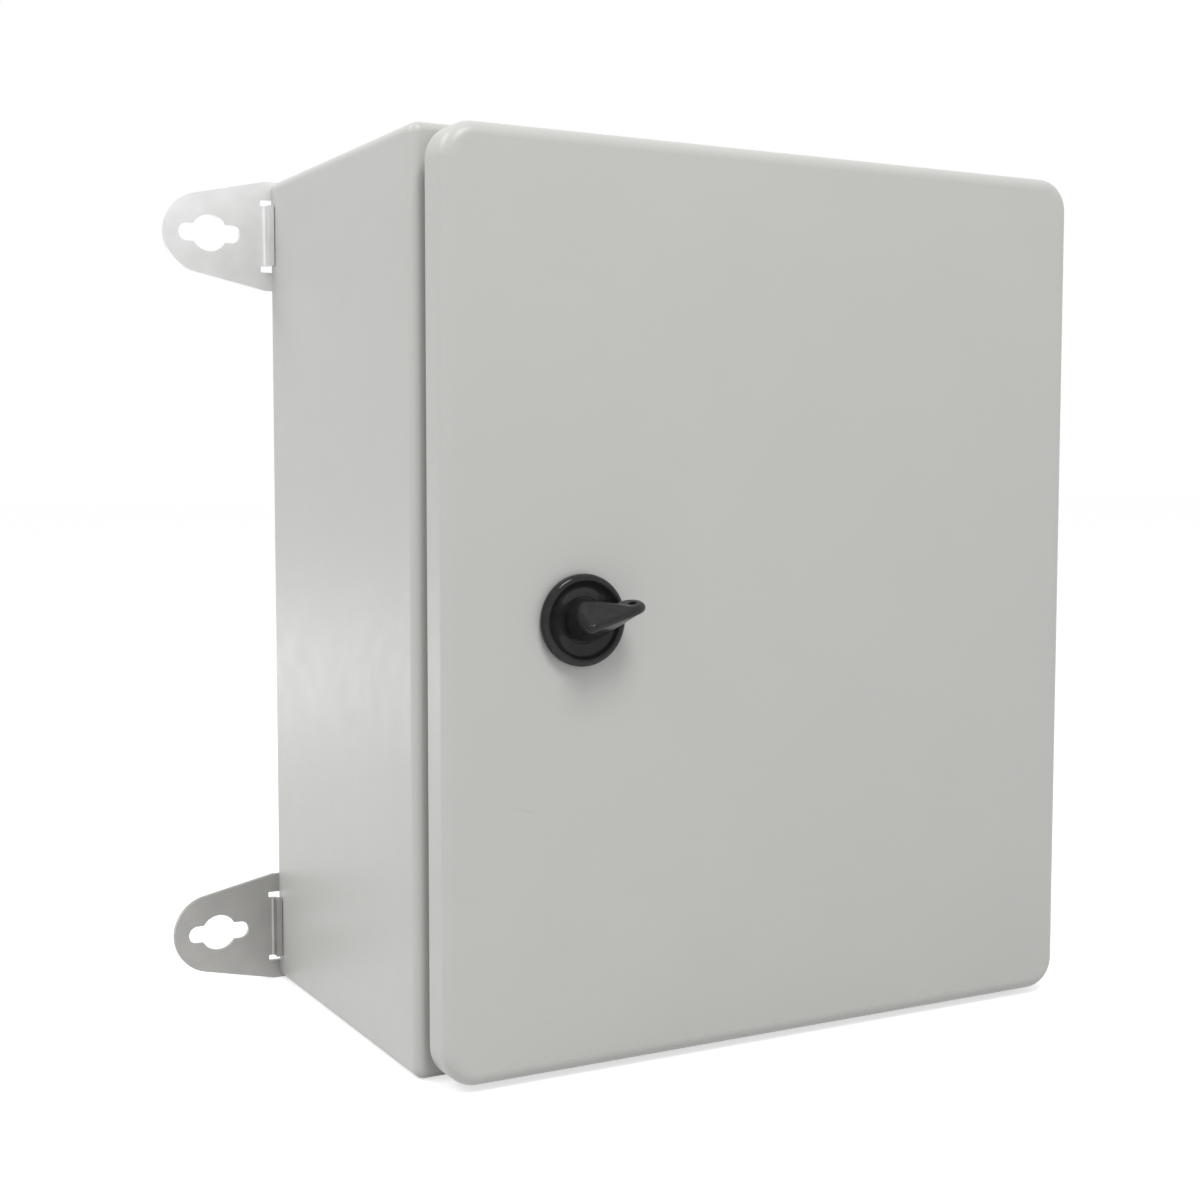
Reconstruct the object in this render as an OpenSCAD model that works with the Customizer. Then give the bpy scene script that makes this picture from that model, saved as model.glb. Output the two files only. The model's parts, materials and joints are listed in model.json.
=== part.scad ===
// Steel wall enclosure. A folded body with a raised gutter lip carries a hinged, flanged door
// with a foamed seal. A wing knob in the door turns a cam behind the body's flange.
// X runs to the right of the door, Y into the wall and Z up. The wall is the plane Y = 0 and
// the origin is the centre of the four wall slots. Depths are measured towards the viewer, -Y.

/* [Body] */
// Width of the folded body
body_w = 250; // [220:1:400]
// Height of the folded body
body_h = 300; // [280:1:500]
// Depth from the back plane to the front flange's face
body_d = 135; // [110:1:220]
// Thickness of the body's sheet
body_t = 1.2; // [1:0.1:1.6]
// Outer radius of the body's four upright bends
corner_r = 3.5; // [3.2:0.1:6]
// Outer radius of the bend between a side and the front flange
fold_r = 3; // [2:0.1:3.2]
// Distance from the body's outside to the gutter lip
flange_w = 20; // [18:0.5:24]
// Height of the gutter lip over the flange's face
lip_h = 10.5; // [8:0.1:12]
// Corner radius of the gutter lip
lip_corner_r = 7; // [4:0.5:10]
// Thickness of the welded back panel
back_t = 1.5; // [1.2:0.1:2]

/* [Door] */
// Step in from the body's outside to the door's edge, all round
door_inset = 2; // [1.5:0.1:3]
// Depth of the door pan
door_d = 15.5; // [14:0.1:18]
// Gap between the door's rear edge and the body's flange
door_gap = 4.5; // [4.3:0.1:6]
// Thickness of the door's sheet
door_t = 1.2; // [1:0.1:1.6]
// Corner radius of the door's outline
door_corner_r = 11; // [8:0.5:16]
// Outer radius of the bend round the door's front face
door_edge_r = 4.5; // [3:0.1:5.5]
// Outer radius of the bend at the door's rear edge
door_rear_r = 2; // [1.7:0.1:2.5]
// Width of the door's inward return
return_w = 15.5; // [13:0.5:17]

/* [Seal] */
// Width of the foamed seal on the door
seal_w = 10; // [8:0.5:11]

/* [Hinges] */
// Distance from the body's top or bottom to the middle of the nearer hinge
hinge_in = 55; // [45:1:80]
// Height of a hinge
hinge_h = 40; // [34:1:50]
// Height of each of a door leaf's two knuckles
knuckle_h = 10; // [6:0.5:13]
// Radius of the knuckles
barrel_r = 3.5; // [3.2:0.1:3.8]
// Radius of the hinge pin
pin_r = 2; // [1.5:0.1:2.3]
// Thickness of a hinge leaf
leaf_t = 2; // [1.6:0.1:2.1]

/* [Lock] */
// Distance from the body's left side to the lock's axis
lock_edge = 48; // [42:0.5:60]
// Height of the lock's axis over the body's mid-height
lock_z = -3.5; // [-60:0.5:60]
// Radius of the lock's round rose
rose_r = 14.6; // [13.5:0.1:18]
// Thickness of the rose's dished floor
rose_t = 1.5; // [1.2:0.1:2.4]
// Radius of the rose's rounded rim
rose_rim_r = 1.5; // [1.2:0.1:2]
// Radius of the lock's barrel behind the rose
housing_r = 11; // [10:0.1:11.5]
// Width across the barrel's two flats
housing_flats = 20; // [17:0.1:21]
// Radius of the knob's spindle
spindle_r = 5; // [4:0.1:6]
// Width across the spindle's square
square_w = 7; // [5.5:0.1:8]
// Radius of the knob's hub
hub_r = 6.8; // [6:0.1:9]
// Height of the hub's round edge over the door
hub_h = 6.5; // [5:0.5:9]
// Height of the wing's ridge over the door
ridge_h = 17; // [14:0.5:20]
// Angle of the wing over the horizontal
wing_angle = 17; // [0:1:60]
// Distance from the lock's axis to the middle of the wing's lobe
wing_reach = 11.2; // [9:0.1:16]
// Radius of the lobe
lobe_r = 5.8; // [4.5:0.1:6.5]
// Thickness of the lobe
wing_t = 5.8; // [4:0.1:6.5]
// Radius of the hole in the lobe
wing_hole_r = 1.3; // [0.8:0.1:2]
// Length of the cam from the lock's axis
cam_l = 40; // [36:0.5:46]
// Width of the cam
cam_w = 16; // [12:0.5:22]
// Thickness of the cam
cam_t = 3; // [2:0.1:4]

/* [Wall brackets] */
// Distance from the body's side out to the middle of a wall slot
slot_out = 23.5; // [22:0.5:30]
// Distance from the body's top or bottom to the middle of the nearer wall slots
slot_in = 20; // [18:0.5:60]
// Thickness of a bracket
bracket_t = 2; // [1.5:0.1:3]
// Height of a bracket where it meets the body
bracket_h = 40; // [34:1:44]
// Radius of a bracket's round end
tip_r = 14.5; // [12:0.5:17]
// Distance from the slot's middle to the middle of the round end
tip_past = 2.4; // [0:0.1:5]
// Length of a slot, end to end
slot_l = 23; // [18:0.5:25]
// Width of a slot
slot_w = 6.6; // [5:0.1:8]
// Radius of the round opening in the slot's middle
keyhole_r = 6.7; // [5:0.1:8]
// Distance that a bracket reaches in behind the body
bracket_in = 27; // [24:1:40]
// Height of the tab that hooks on the body's side
tab_h = 22; // [14:1:24]
// Length of the tab in front of the bracket's plate
tab_l = 4; // [3:0.1:8]
// Height of the slit at each end of the tab
tab_relief = 2.3; // [1.5:0.1:3]

/* [Mounting plate] */
// Margin round the mounting plate, from its edge to the body's outside
plate_margin = 25; // [22:0.5:40]
// Thickness of the mounting plate
plate_t = 2; // [1.5:0.1:3]
// Distance from the plate's edge to its studs
plate_edge = 10; // [9:0.5:16]
// Length of the spacers behind the plate
spacer_l = 14; // [10:0.5:25]
// Radius of the plate's and the earth studs
stud_r = 3; // [2.5:0.5:4]

/* [Gland plate] */
// Distance from the gland plate's end to the body's outside
gland_in = 35; // [30:0.5:60]
// Depth of the gland plate
gland_d = 86; // [70:1:90]
// Thickness of the gland plate
gland_t = 1.5; // [1.2:0.1:3]
// Thickness of the gland plate's seal
gland_seal_t = 3; // [2:0.1:5]
// Width of the rim by which the gland plate overlaps its opening
gland_rim = 13; // [12:0.5:16]

/* [Hidden] */
$fn = 48;
EPS = 0.01;             // overlap that lets cuts run clear of a face
FIT = 0.06;             // radial clearance of a running fit
HOLE_CLEAR = 0.2;       // radial clearance of a bolt or stud in its hole
SEAT = 0.3;             // gap that keeps moving or soft pieces off their seats
LAP = 0.3;              // flat run past a bend that laps into the sheet it joins
LEAD_IN = 0.6;          // chamfer on the ends of bolts and studs

// Planes from the wall towards the viewer
y_back = -bracket_t;                    // back of the body
y_inside = y_back - back_t;             // front of the back panel
y_flange = y_back - body_d;             // front of the body's flange
y_door_rear = y_flange - door_gap;      // rear edge of the door
y_face = y_door_rear - door_d;          // front of the door
y_door_in = y_face + door_t;            // inner face of the door

door_w = body_w - 2 * door_inset;
door_h = body_h - 2 * door_inset;
lip_w = body_w - 2 * flange_w;          // outside of the gutter lip
lip_l = body_h - 2 * flange_w;
seal_h = door_d + door_gap - door_t - lip_h - SEAT;

hinge_x = body_w / 2 - barrel_r - SEAT;
hinge_y = y_flange - barrel_r - SEAT;
hinge_z = body_h / 2 - hinge_in;
middle_h = hinge_h - 2 * knuckle_h - 2 * SEAT;
pin_past = 1;                           // length of pin below the lower knuckle
pin_head_r = barrel_r - 0.5;
pin_head_t = 1.6;
knuckle_clear = 0.5;                    // room round a knuckle in the other leaf
notch_clear = 0.8;                      // room round a hinge in the door's notch
notch_half = hinge_h / 2 + SEAT + pin_head_t + notch_clear;
leaf_gap = 3.5;                         // from the gutter lip to the leaves
leaf_x = lip_w / 2 + leaf_gap;          // inner edge of both leaves
leaf_screw_in = 4.6;                    // from the leaves' inner edge to their screws
leaf_screw_end = 8;                     // from a leaf's end to its screw
leaf_screw_x = leaf_x + leaf_screw_in;
leaf_screw_dz = hinge_h / 2 - leaf_screw_end;
leaf_screw_r = 2;
leaf_head_r = 3.6;
leaf_head_t = leaf_head_r - leaf_screw_r;
leaf_nut_t = 3.2;
leaf_nut_r = 4.04;
thread_past = 1;                        // screw thread that shows past a nut
return_corner_r = 5;

lock_x = lock_edge - body_w / 2;
rose_seal_t = 0.8;
rose_seal_r = rose_r - 1.2;
housing_rear = y_flange + body_t - SEAT;
lock_nut_t = 5;
lock_nut_r = 15.6;
hub_edge_r = 1;
ridge_r = 2.2;
ridge_back = 4;                         // reach of the ridge behind the lock's axis
hole_past = 1.5;                        // from the lobe's middle to its hole, both ways
square_short = 0.1;                     // that the cam stands past the spindle's square
cam_y = housing_rear + 2 * SEAT;        // front of the cam
cam_washer_r = 6.5;
cam_washer_t = 1.2;
cam_screw_r = 2.5;
cam_head_r = 4.6;
cam_head_t = 3.5;

slot_x = body_w / 2 + slot_out;
slot_z = body_h / 2 - slot_in;
bracket_tip_x = slot_x + tip_past;
bracket_inner_x = body_w / 2 - bracket_in;
bracket_bolt_in = 14;                   // from the body's side to a bracket's bolt
bracket_bolt_x = body_w / 2 - bracket_bolt_in;
root_past = 2.4;                        // straight run of a bracket past the body's side
bush_r = 6;
bracket_bolt_r = 4;
bolt_head_r = 7.5;
bolt_head_t = 5.3;
seal_washer_r = 9;
seal_washer_t = 1.6;
tab_gap = 0.3;                          // between the tab and the body's side
tab_bend_r = 1;                         // inside radius of the tab's bend
tab_x = body_w / 2 + tab_gap;
tab_bend_x = tab_x + bracket_t + tab_bend_r;
tab_foot = 1;                           // flat foot between the bend and the bracket's plate
tab_window = 6;                         // reach of the tab's window in behind the body

plate_w = body_w - 2 * plate_margin;
plate_h = body_h - 2 * plate_margin;
plate_corner_r = 4;
plate_front = y_inside - spacer_l - plate_t;
stud_past = 14;                         // stud in front of the mounting plate
stud_l = spacer_l + plate_t + stud_past;
spacer_r = 6;
washer_r = 6;
washer_t = 1.6;
nut_r = 5.77;
nut_t = 5;

gland_w = body_w - 2 * gland_in;
gland_corner_r = 5;
gland_y = y_back - body_d / 2;
gland_floor = -body_h / 2 + body_t;
gland_stud_r = 2.5;
gland_stud_past = 8;
gland_stud_l = gland_seal_t + gland_t + gland_stud_past;
gland_nut_r = 4.62;
gland_nut_t = 4;

body_earth = [0, -slot_z];
door_earth_in = [45, 36];               // from the body's right side and bottom
door_earth = [body_w / 2 - door_earth_in[0], -body_h / 2 + door_earth_in[1]];
earth_l = 18;

// ---- Shared shapes ----

// Rounded rectangle in plan, centred
module rounded_plan(w, h, r) {
    square([w - 2 * r, h], center = true);
    square([w, h - 2 * r], center = true);
    for (sx = [-1, 1], sz = [-1, 1])
        translate([sx * (w / 2 - r), sz * (h / 2 - r)]) circle(r);
}

// A drawing in X and Z, given thickness from y towards the viewer
module plate_at(y, t) {
    translate([0, y, 0]) rotate([90, 0, 0]) linear_extrude(t) children();
}

// A drawing in radius and height, revolved about an axis that runs towards the viewer
module turned_at(x, y, z) {
    translate([x, y, z]) rotate([90, 0, 0]) rotate_extrude() children();
}

// One straight side of a swept rim. The child is a section: inset from the edge, then depth
module rim_side(half, length) {
    translate([half, 0, 0]) linear_extrude(length, center = true) rotate(180) children();
}

// A section swept round the outline of a rounded rectangle, from the plane Y = 0 forwards
module rim_sweep(w, h, r) {
    for (m = [0, 1]) mirror([m, 0, 0]) rim_side(w / 2, h - 2 * r) children();
    for (m = [0, 1]) mirror([0, 0, m]) rotate([0, -90, 0]) rim_side(h / 2, w - 2 * r) children();
    for (mx = [0, 1], mz = [0, 1])
        mirror([mx, 0, 0]) mirror([0, 0, mz]) translate([w / 2 - r, 0, h / 2 - r])
            rotate([90, 0, 0]) rotate_extrude(angle = 90)
                translate([r, 0]) mirror([1, 0]) children();
}

// Quarter of a bent sheet's section, with its outer corner at the origin, and a flat lap
module bend(outer_r, t, lap = LAP) {
    translate([outer_r, -outer_r]) intersection() {
        difference() {
            circle(outer_r);
            circle(outer_r - t);
        }
        translate([-outer_r, 0]) square(outer_r);
    }
    if (lap > 0) translate([outer_r, -t]) square([lap, t]);
}

// Round bar along Y: from y0 to y1 with y0 the end nearer the viewer
module bar_y(x, z, r, y0, y1) {
    translate([x, y1, z]) rotate([90, 0, 0]) cylinder(r = r, h = y1 - y0);
}

// Hexagon along Y, across-corners radius r
module hex_y(x, z, r, y0, y1) {
    translate([x, y1, z]) rotate([90, 0, 0]) cylinder(r = r, h = y1 - y0, $fn = 6);
}

// Stud that stands from y towards the viewer, with a chamfered end
module stud_y(x, z, y, r, length) {
    turned_at(x, y, z)
        polygon([[0, 0], [r, 0], [r, length - LEAD_IN], [r - LEAD_IN, length], [0, length]]);
}

// Ring along Y
module ring_y(x, z, outer_r, inner_r, y0, y1) {
    difference() {
        bar_y(x, z, outer_r, y0, y1);
        bar_y(x, z, inner_r, y0 - 1, y1 + 1);
    }
}

// Nut along Y with its bore
module nut_y(x, z, r, bore_r, y0, y1) {
    difference() {
        hex_y(x, z, r, y0, y1);
        bar_y(x, z, bore_r, y0 - 1, y1 + 1);
    }
}

// ---- Body ----

// Section of a side and its bend into the flange
module side_section() {
    square([body_t, body_d - fold_r]);
    translate([0, body_d]) bend(fold_r, body_t, min(LAP, corner_r - fold_r));
}

module gland_hole_centres() {
    for (sx = [-1, 0, 1], sy = [-1, 1])
        translate([sx * (gland_w / 2 - gland_rim / 2), gland_y + sy * (gland_d / 2 - gland_rim / 2), 0])
            children();
}

module body_shell() {
    color("gainsboro") difference() {
        union() {
            translate([0, y_back, 0]) rim_sweep(body_w, body_h, corner_r) side_section();
            plate_at(y_flange + body_t, body_t) difference() {
                rounded_plan(body_w - 2 * fold_r, body_h - 2 * fold_r, corner_r - fold_r);
                rounded_plan(lip_w - 2 * body_t, lip_l - 2 * body_t, lip_corner_r - body_t);
            }
            plate_at(y_flange, lip_h) difference() {
                rounded_plan(lip_w, lip_l, lip_corner_r);
                rounded_plan(lip_w - 2 * body_t, lip_l - 2 * body_t, lip_corner_r - body_t);
            }
        }
        translate([0, gland_y, gland_floor - body_t - 1]) linear_extrude(body_t + 2)
            rounded_plan(gland_w - 2 * gland_rim, gland_d - 2 * gland_rim, gland_corner_r);
        for (s = [-1, 1], d = [-1, 1])
            bar_y(leaf_screw_x, s * hinge_z + d * leaf_screw_dz, leaf_screw_r + HOLE_CLEAR,
                y_flange - 1, y_flange + body_t + 1);
    }
}

module back_panel() {
    color("gainsboro") plate_at(y_back, back_t) difference() {
        rounded_plan(body_w - 2 * body_t, body_h - 2 * body_t, corner_r - body_t);
        for (sx = [-1, 1], sz = [-1, 1])
            translate([sx * bracket_bolt_x, sz * slot_z]) circle(bush_r + HOLE_CLEAR);
    }
}

// ---- Wall brackets ----

// Keyhole slot that a wall screw's head can pass through in the middle
module wall_slot() {
    translate([slot_x, 0]) {
        square([slot_l - slot_w, slot_w], center = true);
        for (s = [-1, 1]) translate([s * (slot_l - slot_w) / 2, 0]) circle(slot_w / 2);
        circle(keyhole_r);
    }
}

// Outline of a right-hand bracket: a round end with tangents running out to the full height
module bracket_outline() {
    root_x = body_w / 2 + root_past;
    from_tip = [bracket_tip_x - root_x, bracket_h / 2];
    reach = norm(from_tip);
    tangent = 180 - atan2(from_tip[1], from_tip[0]) - acos(tip_r / reach);
    foot = [bracket_tip_x + tip_r * cos(tangent), tip_r * sin(tangent)];
    polygon([
        [bracket_inner_x, bracket_h / 2], [root_x, bracket_h / 2], foot,
        [foot[0], -foot[1]], [root_x, -bracket_h / 2], [bracket_inner_x, -bracket_h / 2]
    ]);
    translate([bracket_tip_x, 0]) circle(tip_r);
}

// Window that the tab is punched out of, with a slit past each end of the tab
module tab_window_outline() {
    half = tab_h / 2 + tab_relief;
    translate([body_w / 2 - tab_window, -half])
        square([tab_bend_x + tab_foot - body_w / 2 + tab_window, 2 * half]);
}

// The tab seen from above: a flat foot, a quarter bend and an upright
module tab_profile() {
    outer_r = tab_bend_r + bracket_t;
    translate([tab_bend_x, -bracket_t]) square([tab_foot + LAP, bracket_t]);
    translate([tab_bend_x, -outer_r]) intersection() {
        difference() {
            circle(outer_r);
            circle(tab_bend_r);
        }
        translate([-outer_r, 0]) square(outer_r);
    }
    translate([tab_x, y_back - tab_l]) square([bracket_t, tab_l + bracket_t - outer_r]);
}

// Right-hand bracket at mid-height, with its bush and the tab that hooks on the body's side
module bracket() {
    difference() {
        union() {
            plate_at(0, bracket_t) difference() {
                bracket_outline();
                wall_slot();
                tab_window_outline();
            }
            bar_y(bracket_bolt_x, 0, bush_r, y_inside + SEAT, -EPS);
            linear_extrude(tab_h, center = true) tab_profile();
        }
        bar_y(bracket_bolt_x, 0, bracket_bolt_r + HOLE_CLEAR / 2, y_inside - 1, 1);
    }
}

module bracket_at(mx, sz) {
    color("silver") mirror([mx, 0, 0]) translate([0, 0, sz * slot_z]) bracket();
}

module bracket_top_left() { bracket_at(1, 1); }
module bracket_top_right() { bracket_at(0, 1); }
module bracket_bottom_left() { bracket_at(1, -1); }
module bracket_bottom_right() { bracket_at(0, -1); }

module at_bracket_bolts() {
    for (sx = [-1, 1], sz = [-1, 1]) translate([sx * bracket_bolt_x, 0, sz * slot_z]) children();
}

module bracket_bolts() {
    color("silver") at_bracket_bolts() {
        head_y = y_inside - seal_washer_t;
        bar_y(0, 0, bracket_bolt_r, head_y - EPS, -0.4);
        hex_y(0, 0, bolt_head_r, head_y - bolt_head_t, head_y);
    }
}

module bracket_seal_washers() {
    color("dimgray") at_bracket_bolts()
        ring_y(0, 0, seal_washer_r, bracket_bolt_r + HOLE_CLEAR, y_inside - seal_washer_t, y_inside);
}

// ---- Mounting plate ----

module at_plate_studs() {
    for (sx = [-1, 1], sz = [-1, 1])
        translate([sx * (plate_w / 2 - plate_edge), 0, sz * (plate_h / 2 - plate_edge)]) children();
}

module mounting_plate() {
    color("lightsteelblue") difference() {
        plate_at(plate_front + plate_t, plate_t) rounded_plan(plate_w, plate_h, plate_corner_r);
        at_plate_studs() bar_y(0, 0, stud_r + HOLE_CLEAR, plate_front - 1, plate_front + plate_t + 1);
    }
}

module plate_studs() {
    color("silver") at_plate_studs() stud_y(0, 0, y_inside, stud_r, stud_l);
}

module plate_spacers() {
    color("silver") at_plate_studs()
        ring_y(0, 0, spacer_r, stud_r + HOLE_CLEAR, plate_front + plate_t, y_inside);
}

module plate_washers() {
    color("silver") at_plate_studs()
        ring_y(0, 0, washer_r, stud_r + HOLE_CLEAR, plate_front - washer_t, plate_front);
}

module plate_nuts() {
    color("silver") at_plate_studs()
        nut_y(0, 0, nut_r, stud_r + HOLE_CLEAR / 2, plate_front - washer_t - nut_t, plate_front - washer_t);
}

// ---- Gland plate ----

module gland_outline() {
    rounded_plan(gland_w, gland_d, gland_corner_r);
}

module gland_plate() {
    color("gainsboro") difference() {
        translate([0, gland_y, gland_floor + gland_seal_t]) linear_extrude(gland_t) gland_outline();
        gland_hole_centres() cylinder(r = gland_stud_r + HOLE_CLEAR, h = body_h, center = true);
    }
}

module gland_seal() {
    color("dimgray") difference() {
        translate([0, gland_y, gland_floor]) linear_extrude(gland_seal_t) difference() {
            gland_outline();
            rounded_plan(gland_w - 2 * gland_rim, gland_d - 2 * gland_rim, gland_corner_r);
        }
        gland_hole_centres() cylinder(r = gland_stud_r + HOLE_CLEAR, h = body_h, center = true);
    }
}

module gland_studs() {
    color("silver") gland_hole_centres() translate([0, 0, gland_floor]) {
        cylinder(r = gland_stud_r, h = gland_stud_l - LEAD_IN);
        translate([0, 0, gland_stud_l - LEAD_IN])
            cylinder(r1 = gland_stud_r, r2 = gland_stud_r - LEAD_IN, h = LEAD_IN);
    }
}

module gland_nuts() {
    color("silver") gland_hole_centres() translate([0, 0, gland_floor + gland_seal_t + gland_t])
        difference() {
            cylinder(r = gland_nut_r, h = gland_nut_t, $fn = 6);
            translate([0, 0, -1]) cylinder(r = gland_stud_r + HOLE_CLEAR / 2, h = gland_nut_t + 2);
        }
}

// ---- Earth studs ----

module body_earth_stud() {
    color("silver") stud_y(body_earth[0], body_earth[1], y_inside, stud_r, earth_l);
}

module body_earth_nut() {
    color("silver") nut_y(body_earth[0], body_earth[1], nut_r, stud_r + HOLE_CLEAR / 2,
        y_inside - nut_t, y_inside);
}

module door_earth_stud() {
    color("silver") translate([door_earth[0], y_door_in, door_earth[1]]) rotate([-90, 0, 0])
        rotate_extrude() polygon([
            [0, 0], [stud_r, 0], [stud_r, earth_l - LEAD_IN], [stud_r - LEAD_IN, earth_l], [0, earth_l]
        ]);
}

module door_earth_nut() {
    color("silver") nut_y(door_earth[0], door_earth[1], nut_r, stud_r + HOLE_CLEAR / 2,
        y_door_in, y_door_in + nut_t);
}

// ---- Hinges ----

// Countersunk hole or screw head: the wide end is at y, and the cone narrows over depth
module cone_y(x, z, y, wide_r, narrow_r, depth) {
    translate([x, y, z]) rotate([depth < 0 ? 90 : -90, 0, 0])
        cylinder(r1 = wide_r, r2 = narrow_r, h = abs(depth));
}

module at_leaf_screws() {
    for (s = [-1, 1], d = [-1, 1])
        translate([leaf_screw_x, 0, s * hinge_z + d * leaf_screw_dz]) children();
}

module leaf_holes(y0, y1, head_y, head_depth) {
    for (d = [-1, 1]) {
        bar_y(leaf_screw_x, d * leaf_screw_dz, leaf_screw_r + HOLE_CLEAR, y0 - 1, y1 + 1);
        cone_y(leaf_screw_x, d * leaf_screw_dz, head_y, leaf_head_r + HOLE_CLEAR,
            leaf_screw_r + HOLE_CLEAR, head_depth);
    }
}

// Leaf screwed to the body's flange, with the middle knuckle
module hinge_leaf_body() {
    color("silver") difference() {
        union() {
            difference() {
                translate([leaf_x, y_flange - leaf_t, -hinge_h / 2])
                    cube([hinge_x - leaf_x, leaf_t, hinge_h]);
                for (s = [-1, 1]) translate([hinge_x, y_flange - leaf_t / 2, s * hinge_h / 2])
                    cube([2 * (barrel_r + knuckle_clear), leaf_t + 2, 2 * (knuckle_h + SEAT)], center = true);
            }
            translate([hinge_x, hinge_y, 0]) cylinder(r = barrel_r, h = middle_h, center = true);
        }
        translate([hinge_x, hinge_y, 0]) cylinder(r = pin_r + FIT, h = hinge_h, center = true);
        leaf_holes(y_flange - leaf_t, y_flange, y_flange - leaf_t - EPS, leaf_head_t);
    }
}

// Leaf screwed to the door's return, with the two end knuckles
module hinge_leaf_door() {
    color("silver") difference() {
        union() {
            difference() {
                translate([leaf_x, y_door_rear, -hinge_h / 2])
                    cube([hinge_x - leaf_x, leaf_t, hinge_h]);
                translate([hinge_x, y_door_rear + leaf_t / 2, 0])
                    cube([2 * (barrel_r + knuckle_clear), leaf_t + 2, middle_h + 2 * SEAT], center = true);
            }
            for (s = [-1, 1]) translate([hinge_x, hinge_y, s * (hinge_h - knuckle_h) / 2])
                cylinder(r = barrel_r, h = knuckle_h, center = true);
        }
        translate([hinge_x, hinge_y, 0]) cylinder(r = pin_r + FIT, h = hinge_h + 2, center = true);
        leaf_holes(y_door_rear, y_door_rear + leaf_t, y_door_rear + leaf_t + EPS, -leaf_head_t);
    }
}

// Headed pin, held down through all three knuckles
module hinge_pin() {
    color("darkgray") translate([hinge_x, hinge_y, 0]) {
        translate([0, 0, -hinge_h / 2 - pin_past]) cylinder(r = pin_r, h = hinge_h + pin_past + SEAT);
        translate([0, 0, hinge_h / 2 + SEAT]) cylinder(r = pin_head_r, h = pin_head_t);
    }
}

module hinge_leaf_body_upper() { translate([0, 0, hinge_z]) hinge_leaf_body(); }
module hinge_leaf_body_lower() { translate([0, 0, -hinge_z]) hinge_leaf_body(); }
module hinge_leaf_door_upper() { translate([0, 0, hinge_z]) hinge_leaf_door(); }
module hinge_leaf_door_lower() { translate([0, 0, -hinge_z]) hinge_leaf_door(); }
module hinge_pin_upper() { translate([0, 0, hinge_z]) hinge_pin(); }
module hinge_pin_lower() { translate([0, 0, -hinge_z]) hinge_pin(); }

module body_leaf_screws() {
    color("silver") at_leaf_screws() {
        head_y = y_flange - leaf_t;
        cone_y(0, 0, head_y, leaf_head_r, leaf_screw_r, leaf_head_t);
        bar_y(0, 0, leaf_screw_r, head_y + leaf_head_t / 2, y_flange + body_t + leaf_nut_t + thread_past);
    }
}

module body_leaf_nuts() {
    color("silver") at_leaf_screws()
        nut_y(0, 0, leaf_nut_r, leaf_screw_r + HOLE_CLEAR / 2, y_flange + body_t,
            y_flange + body_t + leaf_nut_t);
}

module door_leaf_screws() {
    color("silver") at_leaf_screws() {
        head_y = y_door_rear + leaf_t;
        cone_y(0, 0, head_y, leaf_head_r, leaf_screw_r, -leaf_head_t);
        bar_y(0, 0, leaf_screw_r, y_door_rear - door_t - leaf_nut_t - thread_past, head_y - leaf_head_t / 2);
    }
}

module door_leaf_nuts() {
    color("silver") at_leaf_screws()
        nut_y(0, 0, leaf_nut_r, leaf_screw_r + HOLE_CLEAR / 2, y_door_rear - door_t - leaf_nut_t,
            y_door_rear - door_t);
}

// ---- Door ----

// Section of the door's edge: rear bend, side and front bend
module door_section() {
    translate([0, door_rear_r]) square([door_t, door_d - door_rear_r - door_edge_r]);
    translate([0, door_d]) bend(door_edge_r, door_t);
    mirror([0, 1]) bend(door_rear_r, door_t);
}

module lock_cutout(clear) {
    intersection() {
        circle(housing_r + clear);
        square([3 * housing_r, housing_flats + 2 * clear], center = true);
    }
}

module door_panel() {
    color("gainsboro") difference() {
        union() {
            translate([0, y_door_rear, 0]) rim_sweep(door_w, door_h, door_corner_r) door_section();
            plate_at(y_door_in, door_t)
                rounded_plan(door_w - 2 * door_edge_r, door_h - 2 * door_edge_r,
                    door_corner_r - door_edge_r);
            plate_at(y_door_rear, door_t) difference() {
                rounded_plan(door_w - 2 * door_rear_r, door_h - 2 * door_rear_r,
                    door_corner_r - door_rear_r);
                rounded_plan(door_w - 2 * return_w, door_h - 2 * return_w, return_corner_r);
            }
        }
        plate_at(y_door_in + 1, door_t + 2) translate([lock_x, lock_z]) lock_cutout(HOLE_CLEAR);
        for (s = [-1, 1]) translate([
            hinge_x - barrel_r - notch_clear, hinge_y - barrel_r - notch_clear,
            s * hinge_z - notch_half
        ])
            cube([door_w, door_d, 2 * notch_half]);
        at_leaf_screws() bar_y(0, 0, leaf_screw_r + HOLE_CLEAR, y_door_rear - door_t - 1, y_door_rear + 1);
    }
}

// Foamed seal: a low bed with a round back, which the body's lip meets
module seal_section() {
    intersection() {
        union() {
            square([seal_w, seal_h - seal_w / 2]);
            translate([seal_w / 2, seal_h - seal_w / 2]) circle(seal_w / 2);
        }
        square([seal_w, seal_h]);
    }
}

module door_seal() {
    edge = (body_t - seal_w) / 2;
    color("dimgray") translate([0, y_door_in, 0]) mirror([0, 1, 0])
        rim_sweep(lip_w - 2 * edge, lip_l - 2 * edge, seal_w + 2) seal_section();
}

// ---- Lock ----

// Rose with a round rim and a dished floor, on a barrel with two flats
module lock_housing() {
    back = y_face - rose_seal_t;
    color("#1b1b1b") difference() {
        union() {
            turned_at(lock_x, back, lock_z) {
                square([rose_r - rose_rim_r, rose_t]);
                translate([rose_r - rose_rim_r, 0]) square([rose_rim_r, rose_t]);
                translate([rose_r - rose_rim_r, rose_t]) circle(rose_rim_r);
            }
            translate([lock_x, housing_rear, lock_z]) rotate([90, 0, 0])
                linear_extrude(housing_rear - back) lock_cutout(0);
        }
        bar_y(lock_x, lock_z, spindle_r + FIT, back - rose_t - 2, housing_rear + 1);
    }
}

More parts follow.
